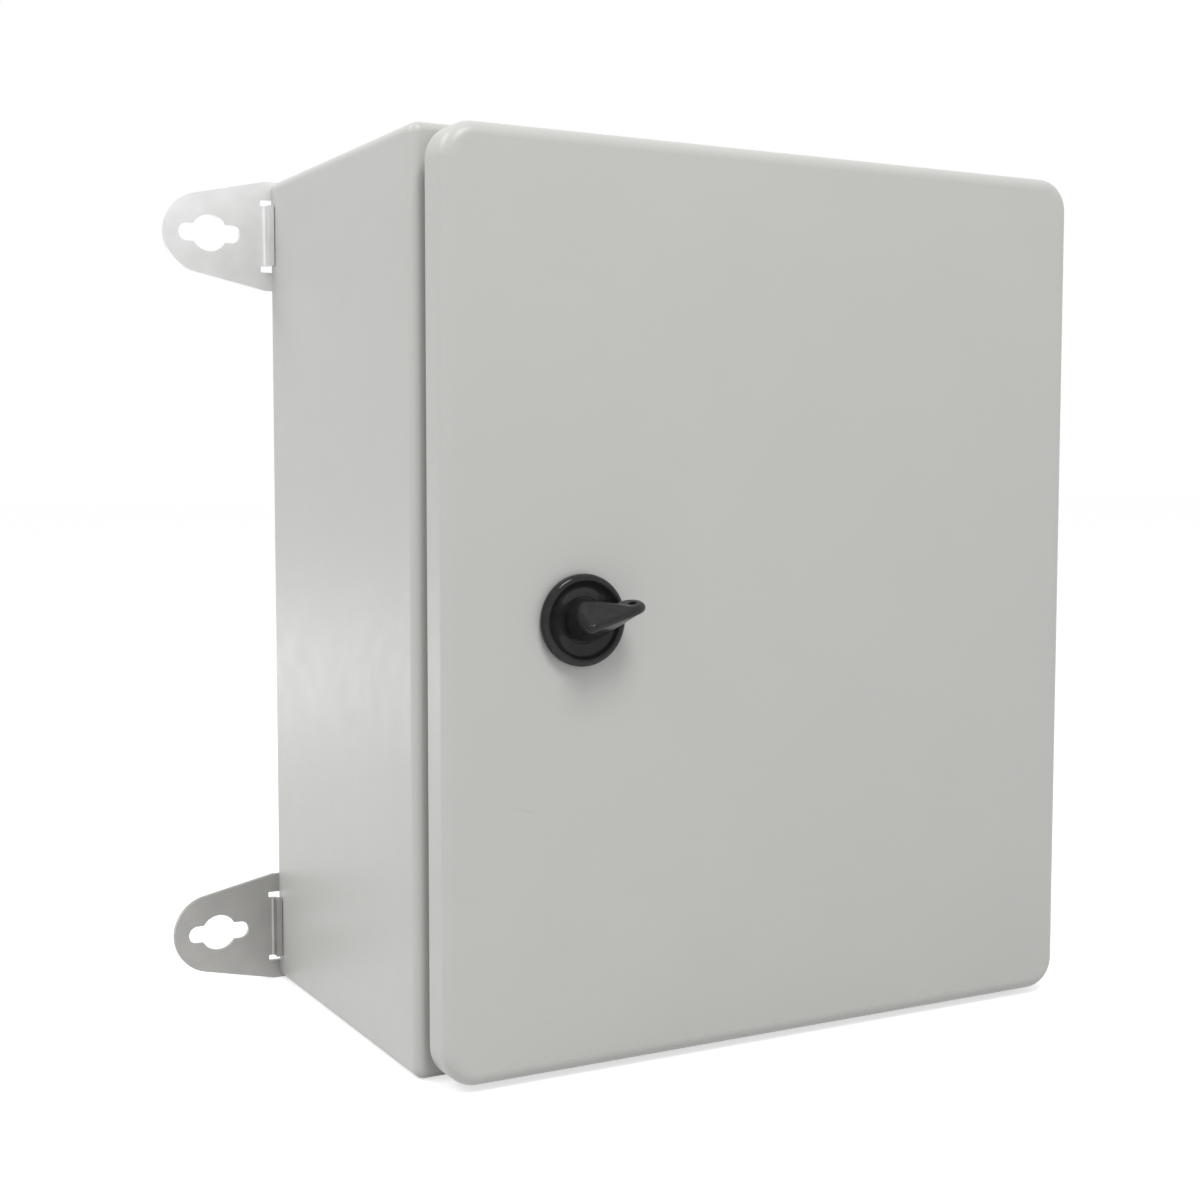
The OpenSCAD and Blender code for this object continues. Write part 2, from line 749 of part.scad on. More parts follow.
module lock_rose_seal() {
    color("dimgray") plate_at(y_face, rose_seal_t) translate([lock_x, lock_z]) difference() {
        circle(rose_seal_r);
        circle(housing_r + HOLE_CLEAR);
    }
}

module lock_nut() {
    color("silver") nut_y(lock_x, lock_z, lock_nut_r, housing_r + HOLE_CLEAR / 2,
        y_door_in, y_door_in + lock_nut_t);
}

// Knob from the door outwards: a round hub that draws in to a ridge, and a flat lobe
module knob_body() {
    edge_r = wing_t / 2;
    wing_rise = ridge_h - lobe_r;
    hull($fn = 32) {
        cylinder(r = hub_r, h = hub_h - hub_edge_r);
        cylinder(r = hub_r - hub_edge_r, h = hub_h);
        for (x = [-ridge_back, wing_reach]) translate([x, 0, ridge_h - ridge_r]) sphere(r = ridge_r);
    }
    hull($fn = 32) {
        translate([0, 0, wing_rise]) sphere(r = edge_r);
        translate([wing_reach, 0, wing_rise]) rotate([90, 0, 0])
            rotate_extrude() translate([lobe_r - edge_r, 0]) circle(r = edge_r);
    }
}

module wing_knob() {
    floor_h = rose_seal_t + rose_t + SEAT;
    front = y_face - floor_h;
    color("#161616") translate([lock_x, 0, lock_z]) {
        translate([0, y_face, 0]) rotate([90, 0, 0]) rotate([0, 0, wing_angle]) difference() {
            knob_body();
            translate([0, 0, -1]) cylinder(r = 2 * hub_r, h = floor_h + 1);
            translate([wing_reach + hole_past, 0, ridge_h - lobe_r + hole_past]) rotate([90, 0, 0])
                cylinder(r = wing_hole_r, h = 2 * wing_t, center = true);
        }
        bar_y(0, 0, spindle_r, front - EPS, housing_rear + SEAT);
        translate([-square_w / 2, housing_rear, -square_w / 2])
            cube([square_w, cam_y + cam_t - housing_rear - square_short, square_w]);
    }
}

module lock_cam() {
    color("silver") translate([lock_x, 0, lock_z]) plate_at(cam_y + cam_t, cam_t) difference() {
        union() {
            circle(cam_w / 2 + 2);
            translate([-cam_w / 2, -cam_l + cam_w / 2]) square([cam_w, cam_l - cam_w / 2]);
            translate([0, -cam_l + cam_w / 2]) circle(cam_w / 2);
        }
        square(square_w + HOLE_CLEAR, center = true);
    }
}

module cam_washer() {
    color("silver") ring_y(lock_x, lock_z, cam_washer_r, cam_screw_r + HOLE_CLEAR,
        cam_y + cam_t, cam_y + cam_t + cam_washer_t);
}

module cam_screw() {
    head_y = cam_y + cam_t + cam_washer_t;
    color("silver") hex_y(lock_x, lock_z, cam_head_r, head_y, head_y + cam_head_t);
    color("silver") bar_y(lock_x, lock_z, cam_screw_r, cam_y + cam_t, head_y + EPS);
}

body_shell();
back_panel();
bracket_top_left();
bracket_top_right();
bracket_bottom_left();
bracket_bottom_right();
bracket_bolts();
bracket_seal_washers();
mounting_plate();
plate_studs();
plate_spacers();
plate_washers();
plate_nuts();
gland_plate();
gland_seal();
gland_studs();
gland_nuts();
body_earth_stud();
body_earth_nut();
hinge_leaf_body_upper();
hinge_leaf_body_lower();
hinge_pin_upper();
hinge_pin_lower();
body_leaf_screws();
body_leaf_nuts();
door_panel();
door_seal();
hinge_leaf_door_upper();
hinge_leaf_door_lower();
door_leaf_screws();
door_leaf_nuts();
door_earth_stud();
door_earth_nut();
lock_housing();
lock_rose_seal();
lock_nut();
wing_knob();
lock_cam();
cam_washer();
cam_screw();
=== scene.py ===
"""Looks of a steel wall enclosure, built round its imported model.

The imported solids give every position. Sheet-metal pieces keep their solids and get
coated or plated finishes. The lock, the threaded fasteners and the poured seal are
built here in finer detail and stand for their solids, and the stitch welds are added.
"""

from __future__ import annotations

import json
import logging
import math
from dataclasses import dataclass
from enum import Enum
from itertools import product
from typing import Iterable, Sequence

import bmesh
import bpy
from mathutils import Matrix, Vector


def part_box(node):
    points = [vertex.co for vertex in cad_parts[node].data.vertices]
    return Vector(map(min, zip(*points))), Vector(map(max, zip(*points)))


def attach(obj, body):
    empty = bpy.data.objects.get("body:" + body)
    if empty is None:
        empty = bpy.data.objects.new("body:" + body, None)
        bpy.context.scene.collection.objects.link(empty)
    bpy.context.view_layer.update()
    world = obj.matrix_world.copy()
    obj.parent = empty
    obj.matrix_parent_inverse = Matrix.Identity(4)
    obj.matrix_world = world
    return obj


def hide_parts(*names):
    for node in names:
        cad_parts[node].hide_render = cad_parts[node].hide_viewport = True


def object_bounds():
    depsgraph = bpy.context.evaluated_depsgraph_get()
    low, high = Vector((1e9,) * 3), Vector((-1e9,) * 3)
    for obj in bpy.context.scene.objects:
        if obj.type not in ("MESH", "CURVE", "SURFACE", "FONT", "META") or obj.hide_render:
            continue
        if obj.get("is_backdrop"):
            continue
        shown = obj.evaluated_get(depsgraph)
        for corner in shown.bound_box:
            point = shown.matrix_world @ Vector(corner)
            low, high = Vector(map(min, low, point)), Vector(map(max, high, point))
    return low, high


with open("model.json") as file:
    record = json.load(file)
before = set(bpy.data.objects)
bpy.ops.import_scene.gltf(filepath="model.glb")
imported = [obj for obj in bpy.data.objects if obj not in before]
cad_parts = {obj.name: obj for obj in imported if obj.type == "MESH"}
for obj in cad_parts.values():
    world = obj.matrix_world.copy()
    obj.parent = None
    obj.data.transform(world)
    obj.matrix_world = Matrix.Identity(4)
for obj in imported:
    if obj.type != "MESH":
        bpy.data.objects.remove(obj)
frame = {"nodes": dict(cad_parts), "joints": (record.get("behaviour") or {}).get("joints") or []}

LOG = logging.getLogger("enclosure")
MM = 0.001
QUARTER = Matrix.Rotation(math.radians(90), 4, "X")
BMesh = bmesh.types.BMesh
Material = bpy.types.Material
Mesh = bpy.types.Mesh
Node = bpy.types.Node
Object = bpy.types.Object
Socket = bpy.types.NodeSocket
Ring = list[Vector]
Span = tuple[float, float]
Point = tuple[float, float, float]
Colour = tuple[float, float, float]


# ---- Shared helpers: shapes ----


class Facing(Enum):
    """Which way a turned piece's own +Z points in the model."""

    VIEWER = (math.radians(90.0), 0.0, 0.0)
    WALL = (math.radians(-90.0), 0.0, 0.0)
    UP = (0.0, 0.0, 0.0)


@dataclass(frozen=True)
class Solid:
    """The box of one loose solid inside a node."""

    low: Vector
    high: Vector

    @property
    def middle(self) -> Vector:
        """Middle of the box."""
        return (self.low + self.high) / 2

    @property
    def size(self) -> Vector:
        """Size of the box along each axis."""
        return self.high - self.low

    def length(self, facing: Facing) -> float:
        """Size of the box the way that a piece in it faces."""
        return self.size.z if facing is Facing.UP else self.size.y

    def end(self, facing: Facing, far: bool = False) -> Vector:
        """Middle of one end of the box.

        Args:
            facing: the way that the piece in the box faces.
            far: True for the end that it faces, else the end that it stands on.

        Returns:
            The point.
        """
        axis = 2 if facing is Facing.UP else 1
        corner = self.high if (facing is Facing.VIEWER) != far else self.low
        spot = self.middle
        spot[axis] = corner[axis]
        return spot


def loose_solids(node: Object) -> list[Solid]:
    """Finds the separate solids in a node's mesh.

    Args:
        node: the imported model's object, made of loose triangles.

    Returns:
        One box for each solid, ordered by X, then Z, then Y.
    """
    mesh = node.data
    keys = [tuple(round(c, 7) for c in v.co) for v in mesh.vertices]
    parent = {key: key for key in keys}

    def root(key: tuple[float, ...]) -> tuple[float, ...]:
        """Follows the links to a solid's first corner."""
        while parent[key] != key:
            parent[key] = parent[parent[key]]
            key = parent[key]
        return key

    for face in mesh.polygons:
        first = root(keys[face.vertices[0]])
        for index in face.vertices[1:]:
            parent[root(keys[index])] = first
    groups: dict[tuple[float, ...], list[tuple[float, ...]]] = {}
    for key in parent:
        groups.setdefault(root(key), []).append(key)
    found = [
        Solid(Vector(map(min, zip(*points))), Vector(map(max, zip(*points))))
        for points in groups.values()
    ]
    return sorted(found, key=lambda s: tuple(round(c, 4) for c in s.middle.xzy))


def ring(radius: float, z: float, segments: int = 48, sides: int = 0) -> Ring:
    """Points of a circle, or of a regular polygon, about the Z axis.

    Args:
        radius: the radius, across corners for a polygon.
        z: height of the ring.
        segments: number of points, a multiple of the sides.
        sides: sides of a polygon, or 0 for a circle.

    Returns:
        The ring's points.
    """
    points = []
    for index in range(segments):
        angle = 2 * math.pi * index / segments
        reach = radius
        if sides:
            step = 2 * math.pi / sides
            off = (angle % step) - step / 2
            reach = radius * math.cos(step / 2) / math.cos(off)
        points.append(Vector((reach * math.cos(angle), reach * math.sin(angle), z)))
    return points


def loft(rings: Sequence[Ring], closed: bool = False) -> BMesh:
    """Skins a row of rings that have the same number of points.

    Args:
        rings: the rings in order.
        closed: True joins the last ring to the first, else both ends get a cap.

    Returns:
        A new closed bmesh with its faces outwards.
    """
    bm = bmesh.new()
    rows = [[bm.verts.new(point) for point in points] for points in rings]
    pairs = list(zip(rows, rows[1:]))
    if closed:
        pairs.append((rows[-1], rows[0]))
    count = len(rows[0])
    for lower, upper in pairs:
        for index in range(count):
            after = (index + 1) % count
            bm.faces.new((lower[index], lower[after], upper[after], upper[index]))
    if not closed:
        bm.faces.new(list(reversed(rows[0])))
        bm.faces.new(rows[-1])
    bmesh.ops.recalc_face_normals(bm, faces=bm.faces)
    return bm


def ball(middle: Vector, radius: float, segments: int = 20) -> list[Vector]:
    """Points spread over a sphere.

    Args:
        middle: the sphere's middle.
        radius: its radius.
        segments: points round its equator.

    Returns:
        The points.
    """
    rows = segments // 2
    return [
        point + middle
        for angle in (math.pi * row / rows for row in range(1, rows))
        for point in ring(radius * math.sin(angle), radius * math.cos(angle), segments)
    ]


def convex(points: Sequence[Vector]) -> BMesh:
    """The convex skin of a set of points.

    Args:
        points: the points.

    Returns:
        A closed bmesh round them.
    """
    bm = bmesh.new()
    for point in points:
        bm.verts.new(point)
    bmesh.ops.convex_hull(bm, input=bm.verts)
    loose = [v for v in bm.verts if not v.link_faces]
    bmesh.ops.delete(bm, geom=loose, context="VERTS")
    bmesh.ops.recalc_face_normals(bm, faces=bm.faces)
    return bm


def hung(rod: BMesh, top: float = 0.0) -> BMesh:
    """Turns a rod that stands on Z = 0 over, so that it hangs down.

    Args:
        rod: the rod, which is changed.
        top: height of its upper end.

    Returns:
        The same rod.
    """
    bmesh.ops.rotate(rod, verts=rod.verts, matrix=Matrix.Rotation(math.pi, 3, "X"))
    bmesh.ops.translate(rod, verts=rod.verts, vec=(0, 0, top))
    return rod


def merged(parts: Iterable[BMesh]) -> BMesh:
    """Copies several bmeshes into one and frees them.

    Args:
        parts: the bmeshes to join.

    Returns:
        One bmesh with all their faces.
    """
    whole = bmesh.new()
    for part in parts:
        carrier = bpy.data.meshes.new("carrier")
        part.to_mesh(carrier)
        part.free()
        whole.from_mesh(carrier)
        bpy.data.meshes.remove(carrier)
    return whole


def linked(name: str, data: bpy.types.ID) -> Object:
    """Makes an object and puts it in the scene.

    Args:
        name: the object's name.
        data: its mesh, camera or lamp.

    Returns:
        The new object.
    """
    made = bpy.data.objects.new(name, data)
    bpy.context.scene.collection.objects.link(made)
    return made


def mesh_object(
    name: str, bm: BMesh, crease: float = 32.0, place: Matrix | None = None
) -> Object:
    """Makes an object at the origin from a bmesh, with its place in its mesh.

    Args:
        name: the new object's name.
        bm: the shape, which is freed.
        crease: edges sharper than this angle, in degrees, stay sharp.
        place: where the shape goes, or None to leave it.

    Returns:
        The new object, linked to the scene.
    """
    if place is not None:
        bmesh.ops.transform(bm, matrix=place, verts=bm.verts)
    mesh = bpy.data.meshes.new(name)
    bm.to_mesh(mesh)
    bm.free()
    mesh.shade_smooth()
    mesh.set_sharp_from_angle(angle=math.radians(crease))
    return linked(name, mesh)


def baked(name: str, source: Object) -> Object:
    """Turns an object with live modifiers into a plain one and removes the first.

    Args:
        name: the plain object's name.
        source: the object to evaluate.

    Returns:
        A new object without modifiers.
    """
    bpy.context.view_layer.update()
    graph = bpy.context.evaluated_depsgraph_get()
    mesh = bpy.data.meshes.new_from_object(source.evaluated_get(graph))
    mesh.name = name
    source.modifiers.clear()
    old = source.data
    bpy.data.objects.remove(source)
    if old.users == 0:
        bpy.data.meshes.remove(old)
    return linked(name, mesh)


def edge_loop(name: str, points: Sequence[Vector], closed: bool = True) -> Mesh:
    """A mesh of edges only.

    Args:
        name: the mesh's name.
        points: the corners in order.
        closed: True joins the last to the first, else each pair is an edge of its own.

    Returns:
        The new mesh.
    """
    count = len(points)
    edges = [(i, (i + 1) % count) for i in range(0, count, 1 if closed else 2)]
    mesh = bpy.data.meshes.new(name)
    mesh.from_pydata([tuple(p) for p in points], edges, [])
    return mesh


def turned_out(piece: Object) -> None:
    """Points a closed piece's faces outwards and smooths them.

    Args:
        piece: the piece, whose mesh is changed.
    """
    bm = bmesh.new()
    bm.from_mesh(piece.data)
    bmesh.ops.recalc_face_normals(bm, faces=bm.faces)
    bm.to_mesh(piece.data)
    bm.free()
    piece.data.shade_smooth()


def threaded(
    radius: float, pitch: float, length: float, lead: float, flats: float = 0.0
) -> BMesh:
    """A rod with a helical thread, from Z = 0 to its length.

    Args:
        radius: outside radius of the thread.
        pitch: distance between two crests.
        length: length of the rod.
        lead: chamfer at the far end.
        flats: width across two flats cut on the rod, or 0 for none.

    Returns:
        The rod's bmesh.
    """
    segments, per_turn = 24, 4
    rows = max(4, int(round(length / pitch * per_turn)))
    depth, flank, crest = 0.54 * pitch, 1.6, 0.3
    rings = []
    for row in range(rows + 1):
        z = length * row / rows
        points = []
        for index in range(segments):
            turn = index / segments
            phase = (z / pitch - turn) % 1.0
            sunk = min(1.0, max(0.0, flank * abs(2 * phase - 1) - crest))
            reach = radius - depth * sunk
            reach = min(reach, radius - lead + (length - z))
            angle = 2 * math.pi * turn
            x, y = reach * math.cos(angle), reach * math.sin(angle)
            if flats:
                y = max(-flats / 2, min(flats / 2, y))
            points.append(Vector((x, y, z)))
        rings.append(points)
    return loft(rings)


def hexagon_body(corner: float, height: float, bore: float = 0.0, both: bool = True) -> BMesh:
    """A hexagon with the curved chamfers that turning leaves on its corners.

    Args:
        corner: radius across the corners.
        height: height of the hexagon.
        bore: radius of the hole through it, or 0 for none.
        both: True chamfers both faces, else only the far one.

    Returns:
        The hexagon's bmesh, from Z = 0 to its height.
    """
    flats = corner * math.cos(math.pi / 6)
    face, edge = 0.965 * flats, 0.12 * corner
    slope = math.tan(math.radians(28))
    low, high = ring(corner, 0, sides=6), ring(corner, height, sides=6)
    for under, over in zip(low, high):
        drop = max(0.0, (under.to_2d().length - face) * slope)
        under.z = drop if both else 0.0
        over.z = height - drop
    if not bore:
        return loft([ring(face, 0), low, high, ring(face, height), ring(face * 0.6, height)])
    return loft(
        [
            ring(bore, edge), ring(bore + edge, 0), ring(face, 0), low,
            high, ring(face, height), ring(bore + edge, height), ring(bore, height - edge),
        ],
        closed=True,
    )


# ---- Shared helpers: node trees ----


class Nodes:
    """Short calls for the nodes and links of one tree."""

    def __init__(self, tree: bpy.types.NodeTree) -> None:
        """Keeps the tree that the calls fill.

        Args:
            tree: the tree.
        """
        self.tree = tree

    def add(
        self, kind: str, wires: dict[str | int, object] | None = None, **settings: object
    ) -> Node:
        """Adds a node.

        Args:
            kind: the node's type name.
            wires: what its inputs get, each a socket to link or a value to set.
            settings: properties to set on it, before its inputs.

        Returns:
            The new node.
        """
        node = self.tree.nodes.new(kind)
        for key, value in settings.items():
            setattr(node, key, value)
        for key, value in (wires or {}).items():
            self.feed(node.inputs[key], value)
        return node

    def feed(self, target: Socket, value: object) -> None:
        """Links an input to a socket, or sets the input's own value."""
        if isinstance(value, Socket):
            self.tree.links.new(value, target)
        else:
            target.default_value = value

    def maths(self, operation: str, first: object, second: object) -> Socket:
        """The result of a Math node on two sockets or numbers."""
        return self.add("ShaderNodeMath", {0: first, 1: second}, operation=operation).outputs[0]


class Shader(Nodes):
    """A material's node tree round one principled shader."""

    def __init__(self, name: str) -> None:
        """Starts a material with one principled shader.

        Args:
            name: the material's name.
        """
        self.material = bpy.data.materials.new(name)
        self.material.use_nodes = True
        super().__init__(self.material.node_tree)
        self.tree.nodes.clear()
        self.surface = self.add("ShaderNodeBsdfPrincipled")
        self.end = self.add("ShaderNodeOutputMaterial", {"Surface": self.surface.outputs[0]})
        self.place = self.add("ShaderNodeTexCoord").outputs["Object"]

    def constants(self, **values: float | Colour) -> None:
        """Sets the principled shader's own sockets.

        Args:
            values: socket names, with _ for a space, and their values.
        """
        for key, value in values.items():
            self.feed(self.surface.inputs[key.replace("_", " ")], opaque(value))

    def noise(self, size: float, detail: float = 2.0) -> Socket:
        """Noise on Object coordinates.

        Args:
            size: rough size of its grains, in metres.
            detail: number of finer layers.

        Returns:
            The noise's value, about 0.5 in the middle.
        """
        wires = {"Scale": 1.0 / size, "Detail": detail, "Vector": self.place}
        return self.add("ShaderNodeTexNoise", wires).outputs["Fac"]

    def cells(self, size: float, **settings: object) -> Node:
        """Adds a cell pattern on Object coordinates.

        Args:
            size: rough size of its cells, in metres.
            settings: properties of its node.

        Returns:
            The pattern's node.
        """
        wires = {"Scale": 1.0 / size, "Vector": self.place}
        return self.add("ShaderNodeTexVoronoi", wires, **settings)

    def spread(self, source: Socket, result: Span, taken: Span = (0.3, 0.7)) -> Socket:
        """Maps a value from one range to another, clamped.

        Args:
            source: the value.
            result: what the two ends of the taken range become.
            taken: the range of the value that counts.

        Returns:
            The mapped value.
        """
        wires = dict(enumerate((source, *taken, *result)))
        return self.add("ShaderNodeMapRange", wires).outputs[0]

    def mix(self, factor: Socket, first: object, second: object) -> Socket:
        """Mixes two colours by a value.

        Args:
            factor: 0 for the first colour and 1 for the second.
            first: a colour or a socket.
            second: a colour or a socket.

        Returns:
            The mixed colour.
        """
        wires = {"Factor": factor, "A": opaque(first), "B": opaque(second)}
        return self.add("ShaderNodeMix", wires, data_type="RGBA").outputs["Result"]

    def tone(self, factor: Socket, colour: Colour, shades: Span) -> Socket:
        """Colours the surface between two shades of one colour.

        Args:
            factor: 0 for the first shade and 1 for the second.
            colour: the plain colour.
            shades: what the colour is multiplied by at each end.

        Returns:
            The mixed colour.
        """
        mixed = self.mix(factor, *(tinted(colour, shade) for shade in shades))
        self.feed(self.surface.inputs["Base Color"], mixed)
        return mixed

    def gloss(self, source: Socket, rough: Span, taken: Span = (0.3, 0.7)) -> None:
        """Makes the surface rougher and smoother by a value.

        Args:
            source: the value.
            rough: roughness at the two ends of the taken range.
            taken: the range of the value that counts.
        """
        self.feed(self.surface.inputs["Roughness"], self.spread(source, rough, taken))

    def relief(self, source: Socket, height: float, strength: float = 0.5) -> None:
        """Adds a bump on top of those already there.

        Args:
            source: the height's value.
            height: distance in metres that a value of 1 stands for.
            strength: share of the bump that shows.
        """
        wires = {"Strength": strength, "Distance": height, "Height": source}
        bump = self.add("ShaderNodeBump", wires)
        normal = self.surface.inputs["Normal"]
        if normal.links:
            self.feed(bump.inputs["Normal"], normal.links[0].from_socket)
        self.feed(normal, bump.outputs[0])


def opaque(value: object) -> object:
    """A colour with its alpha of 1, or any other value as it is."""
    return (*value, 1.0) if isinstance(value, tuple) else value


def tinted(colour: Colour, factor: float) -> Colour:
    """The colour made lighter or darker by a factor."""
    return (colour[0] * factor, colour[1] * factor, colour[2] * factor)


def from_srgb(code: str) -> Colour:
    """Linear colour of a six-digit screen colour.

    Args:
        code: the colour as RRGGBB.

    Returns:
        The linear red, green and blue.
    """
    values = [int(code[index:index + 2], 16) / 255 for index in (0, 2, 4)]
    linear = [v / 12.92 if v <= 0.04045 else ((v + 0.055) / 1.055) ** 2.4 for v in values]
    return (linear[0], linear[1], linear[2])


# ---- Finishes ----


@dataclass(frozen=True)
class PowderCoat:
    """Fine-textured powder coat on sheet steel."""

    name: str = "powder_coat"
    colour: Colour = from_srgb("C2C2BF")
    mottle: float = 38 * MM
    shades: Span = (0.992, 1.008)
    smear: float = 9 * MM
    rough: Span = (0.36, 0.42)
    grain: float = 0.55 * MM
    grain_depth: float = 0.035 * MM
    grain_strength: float = 0.55
    peel: float = 2.4 * MM
    peel_depth: float = 0.03 * MM
    peel_strength: float = 0.6
    scratched: bool = False
    scratch_at: Point = (-0.0962, -0.157, -0.0625)
    scratch_turn: float = math.radians(17)
    scratch_size: Point = (4.6 * MM, 2 * MM, 0.5 * MM)
    scratch_shade: float = 0.87
    scratch_mix: Span = (0.55, 0.0)

    def build(self) -> Material:
        """The finish as a material."""
        shader = Shader(self.name)
        shader.constants(Specular_IOR_Level=0.45, Metallic=0.0)
        mottle = shader.spread(shader.noise(self.mottle, 3.0), (0.0, 1.0))
        tone = shader.tone(mottle, self.colour, self.shades)
        shader.gloss(shader.noise(self.smear), self.rough)
        shader.relief(shader.noise(self.grain, 3.0), self.grain_depth, self.grain_strength)
        shader.relief(shader.noise(self.peel, 1.0), self.peel_depth, self.peel_strength)
        if self.scratched:
            self.scratch(shader, tone)
        return shader.material

    def scratch(self, shader: Shader, tone: Socket) -> None:
        """Adds one faint, short scratch low on the door.

        Args:
            shader: the finish's tree.
            tone: the coat's colour so far.
        """
        wires = {
            "Vector": shader.place, "Location": self.scratch_at,
            "Rotation": (0.0, self.scratch_turn, 0.0), "Scale": self.scratch_size,
        }
        place = shader.add("ShaderNodeMapping", wires, vector_type="TEXTURE")
        away = shader.add("ShaderNodeVectorMath", {0: place.outputs[0]}, operation="LENGTH")
        mark = shader.spread(away.outputs["Value"], self.scratch_mix, (0.2, 1.0))
        marked = shader.mix(mark, tone, tinted(self.colour, self.scratch_shade))
        shader.feed(shader.surface.inputs["Base Color"], marked)


@dataclass(frozen=True)
class PlatedSteel:
    """Zinc plating on pressed or turned steel."""

    name: str
    colour: Colour
    rough: Span
    metal: float = 0.9
    cloud: float = 9 * MM
    shades: Span = (0.95, 1.04)
    grain: float = 0.5 * MM
    grain_depth: float = 0.008 * MM

    def build(self) -> Material:
        """The finish as a material."""
        shader = Shader(self.name)
        shader.constants(Metallic=self.metal, Specular_IOR_Level=0.5)
        cloud = shader.spread(shader.noise(self.cloud, 4.0), (0.0, 1.0))
        shader.tone(cloud, self.colour, self.shades)
        fine = shader.noise(self.grain, 3.0)
        shader.gloss(fine, self.rough)
        shader.relief(fine, self.grain_depth)
        return shader.material


@dataclass(frozen=True)
class Galvanised:
    """Hot-dip zinc with its flower pattern, on the mounting plate."""

    name: str = "galvanised"
    colour: Colour = (0.58, 0.6, 0.61)
    metal: float = 0.85
    flower: float = 7 * MM
    shades: Span = (0.8, 1.12)
    rough: Span = (0.3, 0.5)
    grain: float = 1.2 * MM
    grain_depth: float = 0.01 * MM

    def build(self) -> Material:
        """The finish as a material."""
        shader = Shader(self.name)
        shader.constants(Metallic=self.metal)
        cells = shader.cells(self.flower)
        pick = shader.add("ShaderNodeSeparateColor", {0: cells.outputs["Color"]})
        shader.tone(pick.outputs[0], self.colour, self.shades)
        shader.gloss(pick.outputs[1], self.rough, (0.0, 1.0))
        shader.relief(shader.noise(self.grain, 3.0), self.grain_depth)
        return shader.material


@dataclass(frozen=True)
class GlossBlack:
    """Moulded black polyamide with a polished face."""

    name: str = "black_gloss"
    colour: Colour = (0.015, 0.015, 0.015)
    cloud: float = 3 * MM
    shades: Span = (1.0, 1.5)
    smear: float = 1.4 * MM
    rough: Span = (0.12, 0.2)
    wave: float = 1.6 * MM
    wave_depth: float = 0.02 * MM

    def build(self) -> Material:
        """The finish as a material."""
        shader = Shader(self.name)
        shader.constants(Specular_IOR_Level=0.1, Coat_Weight=0.3, Coat_Roughness=0.05)
        cloud = shader.spread(shader.noise(self.cloud, 3.0), (0.0, 1.0))
        shader.tone(cloud, self.colour, self.shades)
        shader.gloss(shader.noise(self.smear, 3.0), self.rough)
        shader.relief(shader.noise(self.wave), self.wave_depth)
        return shader.material


@dataclass(frozen=True)
class Foam:
    """Poured polyurethane foam with a fine skin, or plain rubber."""

    name: str
    colour: Colour
    pore: float = 0.6 * MM
    pore_depth: float = 0.12 * MM
    cloud: float = 14 * MM
    shades: Span = (0.85, 1.15)
    smear: float = 2 * MM
    rough: Span = (0.62, 0.85)
    swell: float = 6 * MM
    swell_depth: float = 0.15 * MM

    def build(self) -> Material:
        """The finish as a material."""
        shader = Shader(self.name)
        shader.constants(Specular_IOR_Level=0.3, Sheen_Weight=0.15)
        cloud = shader.spread(shader.noise(self.cloud, 3.0), (0.0, 1.0))
        shader.tone(cloud, self.colour, self.shades)
        shader.gloss(shader.noise(self.smear), self.rough)
        cells = shader.cells(self.pore, feature="SMOOTH_F1")
        shader.relief(cells.outputs["Distance"], self.pore_depth)
        shader.relief(shader.noise(self.swell), self.swell_depth, 0.6)
        return shader.material


class Finishes:
    """All the materials, built once and shared by the pieces."""

    def __init__(self) -> None:
        """Builds each material."""
        self.coat = PowderCoat().build()
        self.door_coat = PowderCoat(name="powder_coat_door", scratched=True).build()
        self.plate = PlatedSteel("zinc_plated", (0.6, 0.61, 0.62), (0.34, 0.48)).build()
        # Lit and shaded copies of one zinc plating: the upper brackets' copy is painted lighter, a
        # painted reflection of the bright surround above them; the lower brackets' copy is painted
        # darker, painted shade for the darker floor that they reflect, and is a little rougher.
        self.clear = PlatedSteel("zinc_plated_painted_light", (0.76, 0.76, 0.76), (0.34, 0.46)).build()
        self.plate_painted_shade = PlatedSteel("zinc_plated_painted_shade", (0.38, 0.375, 0.365), (0.42, 0.56)).build()
        self.bright = PlatedSteel("bright_steel", (0.62, 0.62, 0.61), (0.2, 0.32)).build()
        self.galvanised = Galvanised().build()
        self.black = GlossBlack().build()
        self.foam = Foam("foam_seal", (0.055, 0.056, 0.058)).build()
        self.rubber = Foam("rubber_seal", (0.02, 0.02, 0.021), 1.5 * MM, 0.02 * MM).build()


def coat(piece: Object, material: Material) -> None:
    """Gives a piece a finish on all its material slots.

    Args:
        piece: the object.
        material: the finish.
    """
    if not piece.material_slots:
        piece.data.materials.append(material)
    for slot in piece.material_slots:
        slot.material = material


def dress(material: Material, *nodes: str) -> None:
    """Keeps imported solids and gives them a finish.

    Args:
        material: the finish.
        nodes: the solids' nodes.
    """
    for name in nodes:
        coat(frame["nodes"][name], material)
        LOG.info("dressed %s in %s", name, material.name)


def finish_piece(piece: Object, body: str, slot: str, *stands_for: str) -> None:
    """Puts a new piece on its body.

    Args:
        piece: the new object.
        body: the body that it moves with.
        slot: the record's material slot; not used.
        stands_for: the nodes that it replaces.
    """
    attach(piece, body)
    if stands_for:
        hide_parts(*stands_for)
    LOG.info("built %s on %s, %d faces", piece.name, body, len(piece.data.polygons))


# ---- Geometry Nodes ----


